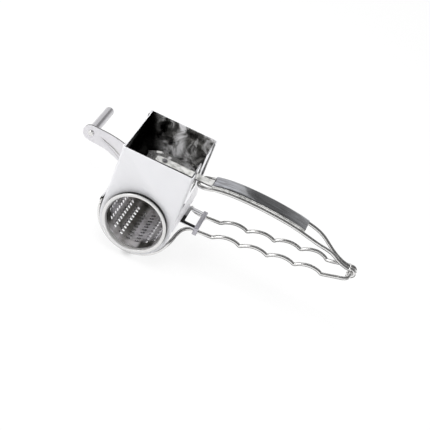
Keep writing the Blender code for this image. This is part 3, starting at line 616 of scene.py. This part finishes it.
drum_steel = plated_steel("drum_steel", (0.68, 0.68, 0.70), (0.04, 0.12), (1, 0.12, 1), 0.00002,
                          stain=(0.66, 0.64, 0.55), stained=0.45)
tube = fit(drum_shell(), "drum_shell_fine", "drum", "drum_steel", drum_steel, "drum_shell")
# Painted reflections: tones round the bore, deep in the drum and at its mouth.
DEEP_REFLECTION_TONES = (
    (-180, 0.66), (-172, 0.55), (-166, 1.0), (-156, 0.90), (-148, 1.0), (-140, 0.80), (-134, 0.70),
    (-125, 0.34), (-119, 0.42), (-114, 0.70), (-107, 0.27), (-98, 0.24), (-93, 0.55), (-89, 1.0),
    (-64, 1.0), (-56, 1.0), (-48, 0.75), (-36, 1.0), (-25, 0.60), (0, 0.60))
MOUTH_REFLECTION_TONES = (
    (-180, 0.20), (-172, 0.08), (-164, 0.10), (-156, 0.05), (-148, 0.12), (-140, 0.50), (-128, 0.85),
    (-120, 0.65), (-112, 0.75), (-100, 0.50), (-92, 0.70), (-72, 0.75), (-66, 0.08), (-40, 0.08),
    (-30, 0.45), (0, 0.50))


def tone_ramp(owner, along, first, stops):
    """A ramp from a first colour, through stops of (share, colour), to white."""
    added = add_node(owner, "ValToRGB", {"Fac": along}).node
    for share, colour in stops:
        added.color_ramp.elements.new(share).color = (*colour, 1)
    added.color_ramp.elements[0].color = (*first, 1)
    return added.outputs["Color"]


def toned(made, tone):
    """Multiply a metal's colour by a tone."""
    shader = made.node_tree.nodes["Principled BSDF"]
    metal = shader.inputs["Base Color"].links[0].from_socket
    shaded = add_node(made, "VectorMath", {0: metal, 1: tone}, operation="MULTIPLY")
    feed(made, shader, {"Base Color": shaded})


def bore_painted_reflections():
    """The drum's bore: painted reflections in bands of lighter and darker metal along it, drawn together
    at the mouth.
    """
    made = plated_steel("bore_painted_reflections", (1.0, 0.99, 1.0), (0.06, 0.16), (1, 0.12, 1), 0.00002,
                        stain=(0.35, 0.34, 0.32), stained=1.0, metallic=0.4)
    feed(made, made.node_tree.nodes["Principled BSDF"], {"Specular IOR Level": 0.0})
    place = add_node(made, "TexCoord", output="Object")
    centred = add_node(made, "VectorMath", {0: place, 1: DRUM_AXIS}, operation="SUBTRACT")
    apart = add_node(made, "SeparateXYZ", {0: centred}).node.outputs
    angle = calc(made, "ARCTAN2", apart["Z"], apart["X"])
    share = calc(made, "MULTIPLY_ADD", angle, 1 / math.tau, 0.5)
    bands = []
    for tones in (MOUTH_REFLECTION_TONES, DEEP_REFLECTION_TONES):
        stops = [(turn / 360 + 0.5, (tone, tone * 0.985, tone * (0.90 + 0.14 * tone)))
                 for turn, tone in tones[1:]]
        bands.append(tone_ramp(made, share, [tones[0][1]] * 3, stops))
    depth = spread(made, apart["Y"], 0.008, 0.020, kind="SMOOTHSTEP")
    toned(made, mixed(made, depth, *bands))
    return made


refinish(tube, bore_painted_reflections(), lambda c, n: c.xz.length < BORE_RADIUS + 0.0003 and n.xz.dot(c.xz) < 0)
# Painted shade: the dents behind the raised burrs, seen from inside, are dark grey.
dent_shade_rivet_dark = plated_steel("dent_shade_rivet_dark", (0.22, 0.215, 0.23), (0.1, 0.25), (1, 0.3, 1), metallic=0.6)
refinish(tube, dent_shade_rivet_dark, lambda c, n: c.xz.length > BORE_RADIUS + 0.00025 and n.xz.dot(c.xz) < 0)

# A ring of rolled steel stands at the drum's mouth, a disc pressed from sheet closes its back, and
# the turned steel hub in the disc has a square socket for the crank's drive.
RIM_RADIUS = 0.0283
RIM_FRONT = -0.004
RIM_ROLL = 0.0012
RIM_CORNER = 0.0014
HUB_RADIUS = 0.007
DRIVE = 0.0021
BREAK = 0.0003


def turned(profile, steps=64, centre=(0, 0)):
    """A ring of (radius, y) points, spun round a line along Y."""
    ring = fresh(bpy.ops.mesh.primitive_circle_add, vertices=len(profile), radius=1)
    for vert, (radius, y) in zip(ring.data.vertices, profile):
        vert.co = (radius, y, 0)
    edit(ring)
    bpy.ops.mesh.spin(steps=steps, angle=math.tau, center=(0, 0, 0), axis=(0, 1, 0))
    bpy.ops.mesh.select_all(action="SELECT")
    bpy.ops.mesh.remove_doubles(threshold=WELD)
    bpy.ops.mesh.normals_make_consistent(inside=False)
    bpy.ops.transform.translate(value=(centre[0], 0, centre[1]))
    return close(ring)


def both_ends(points, front, back):
    """One end's (radius, y) points at the front, and the same mirrored at the back."""
    return [(r, front + y) for r, y in points] + [(r, back - y) for r, y in points[::-1]]


def rolled_rim():
    """The ring's section: square at the back, rolled over at the front."""
    roll = arc(BORE_RADIUS + RIM_ROLL, RIM_FRONT + RIM_ROLL, RIM_ROLL, 180, 270, 5)
    corner = arc(RIM_RADIUS - RIM_CORNER, RIM_FRONT + RIM_CORNER, RIM_CORNER, 270, 360, 6)
    return soften(turned([(BORE_RADIUS, -GAP)] + roll + corner + [(RIM_RADIUS, -GAP)], 128), 0.0001)


def drum_disc():
    face, back, dish = DRUM_BACK - 0.0029, DRUM_BACK - GAP, 0.0005
    inner, outer = HUB_RADIUS + GAP, BORE_RADIUS - GAP
    pressed = ((inner, 0), (inner + 0.004, 0), (inner + 0.0055, dish), (outer - 0.005, dish),
               (outer - 0.0035, 0))
    profile = [(r, face + y) for r, y in pressed]
    profile += [(outer - 0.0008, face), (outer - 0.0002, face + 0.0003), (outer, face + 0.0009),
                (outer, back), (outer - SHEET, back), (outer - SHEET, face + 0.0012),
                (outer - 0.0012, face + SHEET)]
    profile += [(r, face + SHEET + y) for r, y in pressed[::-1]]
    return soften(turned(profile, 96), 0)


def drum_hub():
    front, back = DRUM_BACK - 0.005, DRUM_BACK + 0.002
    end = [(0, 0), (HUB_RADIUS - 0.0012, 0), (HUB_RADIUS - BREAK, BREAK), (HUB_RADIUS, 0.0012)]
    hub = turned(both_ends(end, front, back), 48)
    reach = DRIVE + GAP
    cut(hub, block((-reach, front - 0.01, -reach), (reach, back + 0.01, reach)))
    return soften(hub, 0.0001)


rim_steel = plated_steel("rim_steel", (0.72, 0.715, 0.71), (0.25, 0.35), (1, 0.3, 1), stained=0.1,
                         metallic=0.6)
ring = fit(rolled_rim(), "drum_rim_fine", "drum", "drum_steel", rim_steel, "drum_rim")
# Painted shade: the ring's outer wall is a near-black mirror, standing for the shade between the ring and
# the plate.
rim_side_painted_shade = plated_steel("rim_side_painted_shade", (0.03, 0.03, 0.028), (0.1, 0.2), (1, 0.1, 1), stained=0.3)
refinish(ring, rim_side_painted_shade, lambda c, n: c.xz.length > RIM_RADIUS - 0.0002 and n.y > -0.4)
disc_steel = plated_steel("disc_steel", (0.60, 0.59, 0.55), (0.2, 0.32), (1, 1, 1), stained=0.2)
fit(drum_disc(), "drum_end_fine", "drum", "drum_steel", disc_steel, "drum_end")
fit(drum_hub(), "drum_hub_fine", "drum", "drum_steel", disc_steel, "drum_hub")

# The crank's steel shaft runs in a flanged bush in the back plate, behind a washer. The arm is a
# tapered strip of plated steel, set back towards its grip, with a wedge pressed into it for
# stiffness. A domed nut holds it.
AXLE_RADIUS = 0.003
FLANGE = 0.0012
BUSH_FACE = DEPTH + GAP + FLANGE
CRANK_FACE = BUSH_FACE + GAP
CRANK_REACH = 0.0768
CRANK_SHEET = 0.0015
CRANK_SET = 0.0115
CRANK_TURN = math.radians(4.4)
EYE_X = -CRANK_REACH * math.cos(CRANK_TURN)
EYE_Z = CRANK_REACH * math.sin(CRANK_TURN)
EYE_FACE = CRANK_FACE + CRANK_SET
EYE_RADIUS = 0.0077
ROOT_RADIUS = 0.0115
PIN_RADIUS = 0.0014
RIB_DEPTH = 0.0009
BUSH_FLANGE = 0.0085
WASHER_RADIUS = 0.0065
NUT_RADIUS = 0.0056


def pressed_sheet(us, vs, shape, thickness, offset):
    """A grid of lines at us and vs, pressed into shape(u, v) and given its thickness."""
    across, length = len(us) - 1, len(vs) - 1
    sheet = fresh(bpy.ops.mesh.primitive_grid_add, x_subdivisions=across, y_subdivisions=length,
                  size=1)
    for vert in sheet.data.vertices:
        vert.co = shape(us[round((vert.co.x + 0.5) * across)], vs[round((vert.co.y + 0.5) * length)])
    edit(sheet)
    bpy.ops.mesh.remove_doubles(threshold=WELD)
    close(sheet)
    return change(sheet, "SOLIDIFY", thickness=thickness, offset=offset, use_even_offset=True)


def arm_half_width(s):
    if s < 0:
        return math.sqrt(max(ROOT_RADIUS ** 2 - s * s, 1e-8))
    if s > CRANK_REACH:
        return math.sqrt(max(EYE_RADIUS ** 2 - (s - CRANK_REACH) ** 2, 1e-8))
    return ROOT_RADIUS + (EYE_RADIUS - ROOT_RADIUS) * s / CRANK_REACH


def arm_point(u, s):
    """A point of the arm's face; a rib is pressed in from the eye down the lower side."""
    w = arm_half_width(s) * u
    y = CRANK_FACE + CRANK_SET * eased((s - 0.012) / (CRANK_REACH - 0.024))
    root, tip = 0.0145, CRANK_REACH - 0.0100
    if root < s < tip:
        share = (tip - s) / (tip - root)
        run = min(1, 2 * share)
        middle, half = 0.04 - 0.66 * run, 0.05 + 0.09 * run
        flank = eased((half + 0.08 - abs(u - middle)) / 0.08)
        y -= RIB_DEPTH * flank * min(1, share * 20, (1 - share) * 12)
    if u < 0 and 0.55 < s / CRANK_REACH < 1:
        w *= 1 - 0.10 * math.sin(math.pi * (s / CRANK_REACH - 0.55) / 0.45) ** 2
    return (-s * math.cos(CRANK_TURN) + w * math.sin(CRANK_TURN), y,
            s * math.sin(CRANK_TURN) + w * math.cos(CRANK_TURN))


def crank_arm():
    ends = [math.sin(math.radians(a)) for a in range(-90, 0, 9)]
    vs = [ROOT_RADIUS * e for e in ends] + [CRANK_REACH * i / 40 for i in range(41)]
    vs += [CRANK_REACH - EYE_RADIUS * e for e in ends[::-1]]
    us = [i / 24 for i in range(-24, 25)]
    arm = pressed_sheet(us, vs, arm_point, CRANK_SHEET, -1)
    edit(arm)
    bpy.ops.mesh.normals_make_consistent(inside=False)
    close(arm)
    cut(arm, round_bar(AXLE_RADIUS + GAP, CRANK_FACE - 0.01, CRANK_FACE + 0.01, sides=48))
    cut(arm, round_bar(PIN_RADIUS + GAP, EYE_FACE - 0.01, EYE_FACE + 0.01, (EYE_X, EYE_Z), 32))
    return soften(arm, 0.0007, angle=40)


def axle():
    start, end = DRUM_BACK + 0.0026, CRANK_FACE + CRANK_SHEET + 0.0028
    shaft = turned(both_ends([(0, 0), (AXLE_RADIUS - BREAK, 0), (AXLE_RADIUS, BREAK)], start, end), 48)
    cut(shaft, block((-DRIVE, DRUM_BACK - 0.0062, -DRIVE), (DRIVE, start + 0.001, DRIVE)), "UNION")
    return soften(shaft, 0.00012)


def axle_bush():
    bore, inner, flange = AXLE_RADIUS + GAP, DRUM_BACK + 0.0043, DEPTH + GAP
    sleeve = bore + 0.0012
    profile = [(bore, inner), (sleeve, inner), (sleeve, flange), (BUSH_FLANGE, flange),
               (BUSH_FLANGE, BUSH_FACE - 0.0005), (BUSH_FLANGE - 0.0004, BUSH_FACE), (bore, BUSH_FACE)]
    return soften(turned(profile, 72), 0.0001)


def axle_washer():
    bore, front, back = AXLE_RADIUS + GAP, DRUM_BACK + 0.0029, DRUM_BACK + 0.0039
    profile = [(bore, front), (WASHER_RADIUS, front), (WASHER_RADIUS, back), (bore, back)]
    return soften(turned(profile, 56), 0.0001)


def domed(radius, base, rise):
    """The (radius, y) points of a low dome, up to just short of its top."""
    turns = [math.radians(t) for t in range(0, 90, 15)]
    return [(radius * math.cos(a), base + rise * math.sin(a)) for a in turns]


def crank_nut():
    """A six-sided nut under a dome."""
    face = CRANK_FACE + CRANK_SHEET + GAP
    bore, bore_end = AXLE_RADIUS + GAP, face + 0.0031
    profile = [(bore, face), (NUT_RADIUS, face), (NUT_RADIUS, face + 0.0026),
               (NUT_RADIUS - BREAK, face + 0.003)] + domed(0.0050, face + 0.003, 0.0024)
    nut = turned(profile + [(0, face + 0.0054), (0, bore_end), (bore, bore_end)], 48)
    for i in range(6):
        side = block((0.0049, face - 0.001, -0.01), (0.02, face + 0.0029, 0.01))
        side.data.transform(Matrix.Rotation(math.radians(60 * i), 4, "Y"))
        cut(nut, side)
    return soften(nut, 0.00012)


crank_steel = plated_steel("crank_steel", (0.71, 0.70, 0.725), (0.3, 0.42), (0.15, 1, 1), 0.000012,
                           metallic=0.5)
lever = fit(crank_arm(), "crank_arm_fine", "crank", "crank_steel", crank_steel, "crank_arm")
# Painted shade: the crank arm's edges, and later the press arm's, are dark grey as dark outlines.
edge_painted_shade = plated_steel("edge_painted_shade", (0.26, 0.255, 0.26), (0.2, 0.35), (1, 1, 1), stained=0.2)
refinish(lever, edge_painted_shade, lambda c, n: abs(n.y) < 0.5)
# Painted shade: the rib's flanks and the arm's rounded edges are mid grey, as lines of shade.
rib_painted_shade = plated_steel("rib_painted_shade", (0.40, 0.39, 0.385), (0.3, 0.42), (1, 1, 1), metallic=0.5)
refinish(lever, rib_painted_shade, lambda c, n: 0.5 <= abs(n.y) < 0.92)
fit(axle(), "axle_fine", "crank", "wire_steel", wire_steel, "axle")
fit(crank_nut(), "crank_nut_fine", "crank", "crank_steel", crank_steel, "crank_nut")
fit(axle_bush(), "axle_bush_fine", "housing", "crank_steel", wire_steel, "axle_bush")
fit(axle_washer(), "axle_washer_fine", "housing", "crank_steel", wire_steel, "axle_washer")

# The grip is a plain round steel tube with a rounded free end, and turns loosely on a long rivet.
# The rivet's low head stands on the near face of the arm.
GRIP_RADIUS = 0.0043
GRIP_LENGTH = 0.046
GRIP_NOSE = 0.0024


def grip_pin():
    near, end = EYE_FACE - GAP, EYE_FACE + CRANK_SHEET + GRIP_LENGTH - 0.004
    head = ((0, 0.0013), (0.0009, 0.00125), (0.0017, 0.00105), (0.0024, 0.0007), (0.0028, 0.0003),
            (0.0029, 0), (PIN_RADIUS, 0))
    profile = [(r, near - y) for r, y in head] + [(PIN_RADIUS, end), (0, end)]
    return soften(turned(profile, 32, (EYE_X, EYE_Z)), 0)


def crank_grip():
    near = EYE_FACE + CRANK_SHEET + GAP
    far, bore = near + GRIP_LENGTH, PIN_RADIUS + GAP
    nose = arc(GRIP_RADIUS - GRIP_NOSE, far - GRIP_NOSE, GRIP_NOSE, 0, 90, 6)
    profile = [(bore, near), (GRIP_RADIUS - BREAK, near), (GRIP_RADIUS, near + BREAK)] + nose
    profile += [(0, far), (0, far - 0.0025), (bore, far - 0.0025)]
    return soften(turned(profile, 48, (EYE_X, EYE_Z)), 0)


fit(grip_pin(), "grip_pin_fine", "crank", "wire_steel", wire_steel, "grip_pin")
grip_steel = plated_steel("grip_steel", (0.58, 0.57, 0.595), (0.18, 0.28), (1, 0.15, 1), 0.000008,
                          metallic=0.85)
fit(crank_grip(), "crank_grip_fine", "grip", "crank_steel", grip_steel, "crank_grip")

# The pressing handle is one bent wire, plated like the frame: an end loop beside the hopper, two
# runs under the thumb plate, a narrow neck, and two hooks that turn on the frame's bar.
PRESS_LINE = [(0.040, 0.0419), (0.048, 0.0443), (0.058, 0.0463), (0.070, 0.0473), (0.085, 0.0476),
              (0.098, 0.0472), (0.110, 0.0463), (0.122, 0.0449), (0.136, 0.0423), (0.145, 0.0396),
              (0.152, 0.0367), (0.158, 0.0337), (0.1655, 0.0297), (0.1710, 0.0278)]
PRESS_SPREAD = [(0.040, 1.0), (0.1295, 1.0), (0.1365, 1.05), (0.142, 1.0), (0.147, 0.82),
                (0.1525, 0.5), (0.158, 0.27), (0.163, 0.256), (0.200, 0.256)]
HALF_SPREAD = 0.0086
NECK = 0.0022
HOOK_RADIUS = 2 * WIRE_RADIUS + GAP


def read(table, x):
    """Read a value off a list of (x, value) points."""
    for (x0, v0), (x1, v1) in zip(table, table[1:]):
        if x <= x1:
            return v0 + (v1 - v0) * max(0.0, (x - x0) / (x1 - x0))
    return table[-1][1]


def press_side(side):
    points = [(x, MIDDLE + side * max(HALF_SPREAD * read(PRESS_SPREAD, x), NECK), z)
              for x, z in PRESS_LINE]
    hook = arc(HINGE_X, HINGE_Z, HOOK_RADIUS, 128, -130, 12)
    return points + [(x, MIDDLE + side * NECK, z) for x, z in hook]


def press_wire():
    loop = [(x, MIDDLE + HALF_SPREAD * share, z) for x, share, z in (
        (0.0357, 0.86, 0.0411), (0.0339, 0.45, 0.0407), (0.0339, -0.45, 0.0407), (0.0357, -0.86, 0.0411))]
    points = press_side(1)[::-1] + loop + press_side(-1)
    return soften(bent_wire(points, WIRE_RADIUS, smooth=5), width=0, angle=50)


fit(press_wire(), "press_wire_fine", "press", "wire_steel", wire_steel, "press_wire")

# The thumb plate is a long crowned strip of sheet, its edges turned down over the wires. Its plating is
# dull, with pale streaks along it, and a painted reflection makes it darker past the hopper and paler at
# the far end.
PLATE_START = 0.045
PLATE_END = 0.1295
PLATE_LIFT = 0.0036
PLATE_CROWN = 0.0003
PLATE_HALF = 0.0066


def smooth_height(x):
    """The wires' height under the plate, smoothed over the bends of the table."""
    reach = 0.004
    return sum(read(PRESS_LINE, x + reach * i / 3) for i in range(-3, 4)) / 7


def plate_height(x):
    return smooth_height(x) + PLATE_LIFT - SHEET


def thumb_plate():
    half = PLATE_HALF
    side = [(half, 0), (half + 0.0006, -0.0001), (half + 0.0011, -0.0003), (half + 0.0014, -0.0006),
            (half + 0.0016, -0.0010), (half + 0.0017, -0.0014)]
    section = [(-y, z) for y, z in side[::-1]]
    section += [(half * i / 4, PLATE_CROWN * (1 - (i / 4) ** 2)) for i in range(-3, 4)] + side
    section = [(y, z + PLATE_CROWN) for y, z in section]
    us = [PLATE_START + (PLATE_END - PLATE_START) * i / 48 for i in range(49)]

    def shape(x, i):
        return x, MIDDLE + section[i][0], plate_height(x) + section[i][1]

    plate = pressed_sheet(us, list(range(len(section))), shape, SHEET, 1)
    return soften(plate, 0.00012, angle=40)


def plate_painted_reflection(made):
    """A painted reflection of the room: mid grey at the hopper, darker past it, paler at the far end."""
    place = add_node(made, "TexCoord", output="Object")
    x = add_node(made, "SeparateXYZ", {0: place}, "X")
    along = spread(made, x, DRUM_AXIS.x + PLATE_START, DRUM_AXIS.x + PLATE_END)
    stops = [(share, [tone] * 3) for share, tone in ((0.32, 0.60), (0.40, 0.38), (0.72, 0.46))]
    toned(made, tone_ramp(made, along, (0.60, 0.60, 0.62), stops))


arm_steel = plated_steel("arm_steel", (0.92, 0.92, 0.90), (0.15, 0.25), (0.15, 1, 1), 0.00002,
                         stain=(0.15, 0.15, 0.14), stained=1.0, metallic=0.6)
plate_steel = plated_steel("plate_steel", (0.50, 0.50, 0.515), (0.05, 0.16), (0.10, 1, 1), 0.000012,
                           stain=(1.8, 1.85, 1.9), stained=0.9, metallic=0.85, streaked=True)
plate_painted_reflection(plate_steel)
thumb = fit(thumb_plate(), "thumb_plate_fine", "press", "plate_steel", plate_steel, "thumb_plate")
refinish(thumb, arm_steel, lambda c, n: abs(n.y) > 0.4)

# A flat arm of bright sheet runs from under the thumb plate through the wall's slot, and carries
# the curved foot that presses on the cheese. A rivet holds it at each end.
ARM_SHEET = 0.0012
ARM_END = 0.068
RIVET_X = ARM_END - 0.004
ARM_Z = 0.0427
FOOT_RADIUS = 0.0285
FOOT_TOP = 0.0415
FOOT_SHEET = 0.001
FOOT_LIP = 0.0012
FOOT_SPAN = 36
RIVET_RADIUS = 0.0013
RIVET_HOLE = 0.0016
RIVET_HEAD = 0.0024
ARM_HALF = 0.0046


def arm_under(x):
    return plate_height(x) + PLATE_CROWN * 0.5 - GAP - ARM_SHEET


def drill_down(piece, x):
    """Drill a rivet's hole along Z."""
    return cut(piece, fresh(bpy.ops.mesh.primitive_cylinder_add, vertices=32, radius=RIVET_HOLE,
                            depth=0.03, location=(x, MIDDLE, 0.045)))


def press_arm():
    line = [(-0.0075, ARM_Z - 0.0003), (0.014, ARM_Z), (0.030, ARM_Z), (PLATE_START - 0.002, ARM_Z)]
    line += [(PLATE_START + 0.0075, arm_under(PLATE_START + 0.0075) - 0.0008)]
    line += [(x, arm_under(x)) for x in (ARM_END - 0.011, ARM_END - 0.006, ARM_END)]
    length = ARM_END - line[0][0]
    us = [line[0][0] + length * (1 - math.cos(math.pi * i / 60)) / 2 for i in range(61)]

    def shape(x, v):
        near = min(x - us[0], ARM_END - x)
        narrow = 0.55 + 0.45 * math.sqrt(max(0, 1 - (1 - min(near / 0.0025, 1)) ** 2))
        return x, MIDDLE + v * ARM_HALF * narrow, read(line, x)

    arm = pressed_sheet(us, [i / 4 for i in range(-4, 5)], shape, ARM_SHEET, 1)
    for x in (0.0, RIVET_X):
        drill_down(arm, x)
    return soften(arm, 0.00012, angle=40)


def press_foot():
    centre = FOOT_TOP - FOOT_SHEET - FOOT_RADIUS
    us = [90 + FOOT_SPAN * i / 14 for i in range(-14, 15)]
    vs = [0.001 * v for v in (-15, -14.6, -14.2, -13.6, -13, -9, -5, 0, 5, 9, 13, 13.6, 14.2, 14.6, 15)]

    def shape(angle, v):
        radius = FOOT_RADIUS + FOOT_LIP * eased((abs(v) - 0.0134) / 0.0016)
        turn = math.radians(angle)
        return radius * math.cos(turn), MIDDLE + v, centre + radius * math.sin(turn)

    foot = pressed_sheet(us, vs, shape, FOOT_SHEET, -1)
    return soften(drill_down(foot, 0), 0.00012, angle=40)


def rivet(x, low, high, rise):
    """A rivet along Z with a dome of some rise above and a flatter head below."""
    profile = domed(RIVET_HEAD, high, rise)[::-1] + [
        (RIVET_RADIUS, high), (RIVET_RADIUS, low), (RIVET_HEAD, low), (0.0018, low - 0.0005),
        (0, low - 0.0005), (0, high + rise)]
    made = turned(profile, 32)
    made.data.transform(Matrix.Rotation(math.radians(90), 4, "X"))
    made.data.transform(Matrix.Translation((x, MIDDLE, 0)))
    return soften(made, 0)


strip = fit(press_arm(), "press_arm_fine", "press", "plate_steel", arm_steel, "press_arm")
# Painted shade darkens the press arm's edges.
refinish(strip, edge_painted_shade, lambda c, n: abs(n.z) < 0.5)
fit(press_foot(), "press_foot_fine", "press", "plate_steel", wire_steel, "press_foot")
# The foot rivet is dark grey, in the same grey as the dents' painted shade.
foot_rivet = rivet(0, FOOT_TOP - FOOT_SHEET - GAP, ARM_Z + ARM_SHEET + GAP, 0.001)
fit(foot_rivet, "foot_rivet_fine", "press", "wire_steel", dent_shade_rivet_dark, "foot_rivet")
plate_rivet = rivet(RIVET_X, arm_under(RIVET_X) - GAP, plate_height(RIVET_X) + PLATE_CROWN + 0.0001,
                    0.0001)
fit(plate_rivet, "plate_rivet_fine", "press", "wire_steel", plate_steel, "plate_rivet")

# A white floor, a white room and soft lamps, with dark cards out of view that give the bright metal
# something to mirror. A painted shadow darkens the floor in a patch under the drum.
FLOOR_WHITE = 0.85

floor = fresh(bpy.ops.mesh.primitive_plane_add, size=6)
floor.name = "floor"
floor_paint = bpy.data.materials.new("floor_paint")
floor_paint.use_nodes = True


def seen_rays(owner):
    """One where the camera or a mirror looks, and nothing for plain light."""
    rays = add_node(owner, "LightPath").node.outputs
    seen = calc(owner, "MAXIMUM", rays["Is Camera Ray"], rays["Is Glossy Ray"])
    return calc(owner, "MAXIMUM", seen, rays["Is Transmission Ray"])


white = add_node(floor_paint, "Emission", {"Strength": 1.0})
# Painted shadow: the floor glows less and is painted dark in a patch under the drum.
away = spot_distance(floor_paint, (0.002, 0.040, 0), (0.0095, 0.036, math.inf))
clear = spread(floor_paint, away, 0.7, 1.3, 0.0, FLOOR_WHITE, "SMOOTHSTEP")
painted_shadow_tone = spread(floor_paint, clear, 0.0, FLOOR_WHITE, 0.12, 0.9)
glow = calc(floor_paint, "MULTIPLY", seen_rays(floor_paint), clear)
matt = floor_paint.node_tree.nodes["Principled BSDF"]
feed(floor_paint, matt, {"Base Color": painted_shadow_tone, "Roughness": 0.9})
blend = add_node(floor_paint, "MixShader", {"Fac": glow, 1: matt.outputs[0], 2: white})
feed(floor_paint, floor_paint.node_tree.nodes["Material Output"], {"Surface": blend})
floor.data.materials.append(floor_paint)

world = bpy.data.worlds.new("studio")
bpy.context.scene.world = world
world.use_nodes = True
room = world.node_tree.nodes["Background"]
feed(world, room, {"Color": (1, 1, 1, 1), "Strength": 0.75})
plain = add_node(world, "Background", {"Strength": 1.0})
either = add_node(world, "MixShader", {"Fac": seen_rays(world), 1: room.outputs[0], 2: plain})
feed(world, world.node_tree.nodes["World Output"], {"Surface": either})


def lamp(name, place, size, power):
    """A soft square lamp aimed at the grater."""
    bpy.ops.object.light_add(type="AREA", location=place)
    made = bpy.context.active_object
    made.name = name
    made.data.size = size
    made.data.energy = power
    made.rotation_mode = "QUATERNION"
    made.rotation_quaternion = (Vector((0.03, 0, 0.04)) - Vector(place)).to_track_quat("-Z", "Y")
    return made


lamp("lamp_above", (-0.25, -0.15, 1.1), 0.7, 9).visible_glossy = False
lamp("lamp_front", (-0.9, -1.1, 0.8), 0.5, 4)


def dark_card(name, corner, width, height, shade, shade_high=None):
    """A card that only mirrors see, from a corner by a width and height, in one or two shades."""
    card = fresh(bpy.ops.mesh.primitive_plane_add, size=1)
    card.name = name
    corner, width, height = Vector(corner), Vector(width), Vector(height)
    for vert, i, j in zip(card.data.vertices, (0, 1, 0, 1), (0, 0, 1, 1)):
        vert.co = corner + width * i + height * j
    paint = bpy.data.materials.new(name)
    paint.use_nodes = True
    place = add_node(paint, "TexCoord", output="Object")
    rise = add_node(paint, "SeparateXYZ", {0: place}, "Z")
    fade = spread(paint, rise, corner.z, corner.z + max(height.z, 0.001), shade,
                  shade if shade_high is None else shade_high)
    flat = add_node(paint, "Emission", {"Strength": fade})
    feed(paint, paint.node_tree.nodes["Material Output"], {"Surface": flat})
    card.data.materials.append(paint)
    card.visible_camera = card.visible_diffuse = card.visible_shadow = card.visible_transmission = False
    return card


dark_card("card_back", (-0.15, 1.3, 0.36), (2.35, 0, 0), (0.115, 0, 1.44), 0.26, 0.03)
dark_card("card_high", (-1.0, 1.3, 1.35), (0.9, 0, 0), (0, 0, 0.45), 0.04)
dark_card("card_top", (-0.9, -1.7, 1.8), (3.2, 0, 0), (0, 3.1, 0), 0.04)
dark_card("card_right", (1.9, -1.5, 0.3), (0, 2.9, 0), (0, 0, 1.5), 0.05)
dark_card("card_front", (-1.6, -1.7, 0.45), (3.4, 0, 0), (0, 0, 1.7), 0.04)
# Painted shadow: a grey card under the handles, seen only in mirrors, stands for the shade beneath them.
dark_card("card_painted_shadow", (0.005, -0.075, 0.0005), (0.30, 0, 0), (0, 0.10, 0), 0.10)

# The camera stands where the photograph was taken from, rolled a little to the left.
bpy.ops.object.camera_add()
camera = bpy.context.active_object
camera.name = "camera"
camera.data.sensor_width = 36
camera.data.lens = 106.7
turn = Matrix(((0.90036, -0.43113, 0.05899), (0.28480, 0.48134, -0.82897), (0.32900, 0.76318, 0.55617)))
camera.rotation_mode = "QUATERNION"
camera.rotation_quaternion = turn.to_quaternion()
camera.location = DRUM_AXIS + Vector((0.11902, -0.84984, 0.61054))
camera.data.clip_start = 0.05
camera.data.clip_end = 50
bpy.context.scene.camera = camera
bpy.context.scene.view_settings.view_transform = "Standard"
